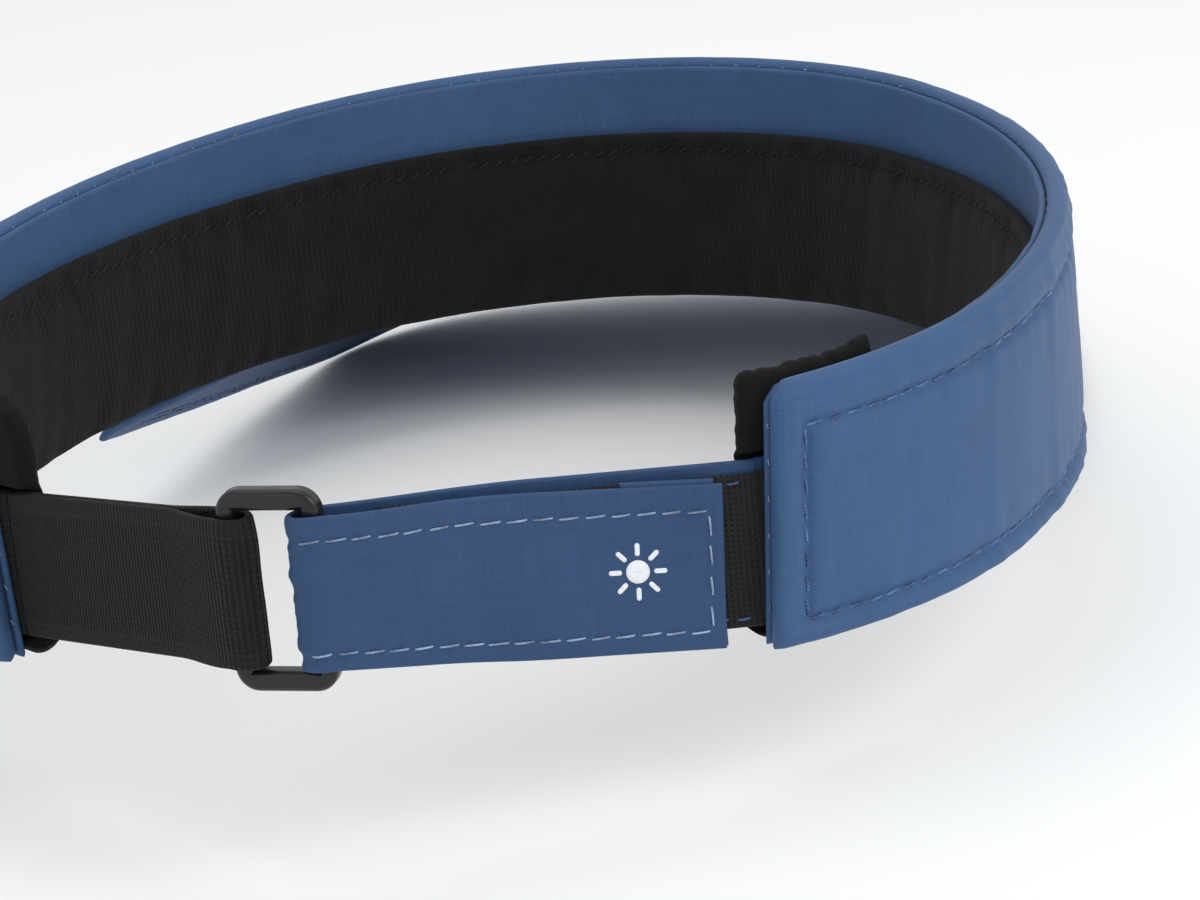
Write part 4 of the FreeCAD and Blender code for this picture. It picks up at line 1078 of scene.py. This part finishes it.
def build_marks():
    """A sun on the tab: a disc and eight rays. Three plain bars on the band's right side."""
    centre = SUN_CENTRE - TAB_TIP
    turn = np.linspace(0, 2 * math.pi, 48, endpoint=False)
    outlines = [(centre + SUN_RADIUS * np.cos(turn), 0.5 + SUN_RADIUS * np.sin(turn) / STRAP_WIDTH)]
    for i in range(8):
        angle = i * math.pi / 4
        end = np.linspace(-math.pi / 2, math.pi / 2, 9)
        along_ray = np.concatenate([RAY_END + RAY_HALF * np.cos(end), RAY_START - RAY_HALF * np.cos(end)])
        aside = np.concatenate([RAY_HALF * np.sin(end), -RAY_HALF * np.sin(end)])
        a = along_ray * math.cos(angle) - aside * math.sin(angle)
        b = along_ray * math.sin(angle) + aside * math.cos(angle)
        outlines.append((centre + a, 0.5 + b / STRAP_WIDTH))
    shape = raised_print(outlines, tab_face, 0.09, -1.0)
    make("tab_sun_print", shape, white_print, "tab", ("tab_mark",))

    bars = []
    for i, share in enumerate((1.0, 0.7, 0.4)):
        u0 = along(SIDE_MARK_HEADING) + 2 * BAR_WIDTH * i
        height = float(band_height(np.array(u0)))
        low = float(band_levels(np.array(u0))[0])
        side = np.linspace(0, 1, 12, endpoint=False)
        none = 0 * side
        u = u0 + BAR_WIDTH * np.concatenate([side, none + 1, 1 - side, none])
        z = BAR_LEVEL + BAR_HEIGHT * share * np.concatenate([none, side, none + 1, 1 - side])
        bars.append((u, (z - low) / height))
    shape = raised_print(bars, shell_face, 0.10, 1.0)
    make("side_bars_print", shape, white_print, "band", ("side_mark",))


# Webbing, doubled round the ring's left bar, and the roots sewn in behind the band's ends.

WEBBING_BULGE = 0.9


def webbing_path():
    """The middle line of the doubled webbing in plan, in its own frame: out, round the bar and back."""
    x = np.linspace(WEBBING_REACH - 0.4, 0, 300)
    spread = WEBBING_PLY / 2 + 0.02 + (WEBBING_EYE - WEBBING_PLY / 2) * (1 - smooth(x, 1.0, WEBBING_JOIN))
    angle = np.radians(np.linspace(90, 270, 140))[1:-1]
    turn_x = (WEBBING_EYE + WEBBING_BULGE) * np.cos(angle)
    turn_y = spread[-1] * np.sin(angle)
    line = np.concatenate(
        [np.stack([x, spread], -1), np.stack([turn_x, turn_y], -1), np.stack([x, -spread], -1)[::-1]]
    )
    return ribbon(line, -1)


def build_webbing():
    path = webbing_path()
    length = path[2][-1]
    fall = (WEBBING_LEVEL - RING_LEVEL) / WEBBING_REACH

    def place(u, v, out):
        x, y, nx, ny = ribbon_at(path, u)
        half = WEBBING_WIDTH / 2 - 0.25 * np.exp(-((u - length / 2) / 9) ** 2)
        out = out + 0.10 * ripple(v * CROSS_SPAN, (9.0, 14.0), 81) * np.exp(-((u - length / 2) / 8) ** 2)
        z = fall * np.maximum(x, 0) + half * (2 * v - 1)
        return in_webbing(np.stack([x + nx * out, y + ny * out, z], -1))

    def outer(u, v):
        rib = 0.06 * np.sin(2 * math.pi * u / RIB_PITCH)
        edge = np.exp(-(np.minimum(v, 1 - v) * WEBBING_WIDTH / 1.6) ** 2)
        return WEBBING_PLY / 2 + rib - 0.12 * edge

    us = lattice(length, 0.155, 0.5, fine=0.12)
    vs = lattice(WEBBING_WIDTH, 1.2, 0.5) / WEBBING_WIDTH
    shape = panel(us, vs, place, outer, -WEBBING_PLY / 2, 0.5, WEBBING_WIDTH)
    make("webbing_loop", shape, webbing_weave, "webbing", ("webbing",))


ROOT_LENGTH = 18.0


def build_root(name, left, low, width, near, ply, material, nodes=()):
    """The sewn-in end of the strap, its tape or the webbing, between the lining and an end pad."""

    def place(u, v, depth):
        x, y = outline(BAND_LENGTH - u if left else u, depth)
        return np.stack([x, y, low + width * v + 0 * x], -1)

    us, vs = lattice(ROOT_LENGTH, 1.0, 0.4), lattice(width, 1.0, 0.4) / width
    depths = INNER_FACE + near + 0.05, INNER_FACE + near + ply - 0.05
    make(name, panel(us, vs, place, *depths, 0.38, width), material, "band", nodes)


def build_roots():
    low = STRAP_LEVEL - STRAP_WIDTH / 2
    tape_width = STRAP_WIDTH / 2 + TAPE_TOP
    build_root("tape_root", False, low, tape_width, 0, TAPE_PLY, loop_pile)
    build_root(
        "strap_root", False, low, STRAP_WIDTH, TAPE_PLY, STRAP_PLY,
        strap_cloth_shaded, ("strap_anchor",),
    )
    build_root(
        "webbing_root", True, WEBBING_LEVEL - WEBBING_WIDTH / 2, WEBBING_WIDTH, 0, 2 * WEBBING_PLY,
        webbing_weave, ("webbing_anchor",),
    )


# Camera, light and floor.


def set_camera():
    """The camera looks at the closure from behind the wearer's right shoulder, slightly above."""
    aim = CAMERA_TARGET - CAMERA_PLACE
    forward = aim / np.linalg.norm(aim)
    right = np.cross(forward, (0, 0, 1))
    right /= np.linalg.norm(right)
    up = np.cross(right, forward)
    turned_right = cosine(CAMERA_ROLL) * right + sine(CAMERA_ROLL) * up
    turned_up = cosine(CAMERA_ROLL) * up - sine(CAMERA_ROLL) * right
    data = bpy.data.cameras.new("camera")
    data.sensor_width = 36.0
    data.lens = CAMERA_LENS
    data.clip_start, data.clip_end = 0.01, 20.0
    camera = added("camera", data)
    axes = Matrix((turned_right, turned_up, -forward)).transposed()
    camera.matrix_world = Matrix.Translation(Vector(CAMERA_PLACE * MM)) @ axes.to_4x4()
    bpy.context.scene.camera = camera


def add_area(name, place, size, power):
    data = bpy.data.lights.new(name, "AREA")
    data.shape, data.size, data.energy = "DISK", size, power
    light = added(name, data)
    light.location = place
    aim = Vector((-0.01, 0.03, 0.015)) - Vector(place)
    light.rotation_mode = "QUATERNION"
    light.rotation_quaternion = aim.to_track_quat("-Z", "Y")


def set_studio():
    add_area("key", (-0.75, 0.25, 0.55), 0.6, 2.7)
    add_area("fill", (0.55, 0.9, 0.45), 0.8, 1.0)
    add_area("overhead", (0.05, -0.05, 1.1), 0.9, 2.1)
    world = bpy.data.worlds.new("studio")
    world.use_nodes = True
    background = world.node_tree.nodes["Background"]
    background.inputs["Color"].default_value = (0.965, 0.972, 0.98, 1.0)
    background.inputs["Strength"].default_value = 0.79
    bpy.context.scene.world = world
    bpy.context.scene.view_settings.view_transform = "Standard"

    level, reach = cad_box[0].z - 0.0002, 6.0
    corners = [(x * reach, y * reach, level) for x, y in ((-1, -1), (1, -1), (1, 1), (-1, 1))]
    mesh = bpy.data.meshes.new("floor")
    mesh.from_pydata(corners, [], [(0, 1, 2, 3)])
    floor = added("floor", mesh)
    paint = Finish("floor_paint", Roughness=0.9, Specular_IOR_Level=0.1)
    tone = paint.noise(3.0, 2.0)
    paint.set(Base_Color=paint.mix(tone, (0.93, 0.935, 0.93, 1.0), (0.96, 0.965, 0.96, 1.0)))
    mesh.materials.append(paint.material)


def finish_ring():
    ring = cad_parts["ring"]
    ring.data.materials.clear()
    ring.data.materials.append(ring_plastic)


def main():
    set_camera()
    build_shell()
    build_shell_stitching()
    build_lining()
    build_sweatband()
    build_end_pad("end_pad_right_knit", False, "end_pad_right", STRAP_LEVEL, STRAP_WIDTH, 0.0, 2.4, 4.5, 0.8)
    build_end_pad("end_pad_left_knit", True, "end_pad_left", WEBBING_LEVEL, WEBBING_WIDTH, 4.0, 0.0, 4.5, 7.0)
    build_brim()
    build_leg()
    build_tab()
    build_marks()
    build_webbing()
    build_roots()
    finish_ring()
    set_studio()


main()
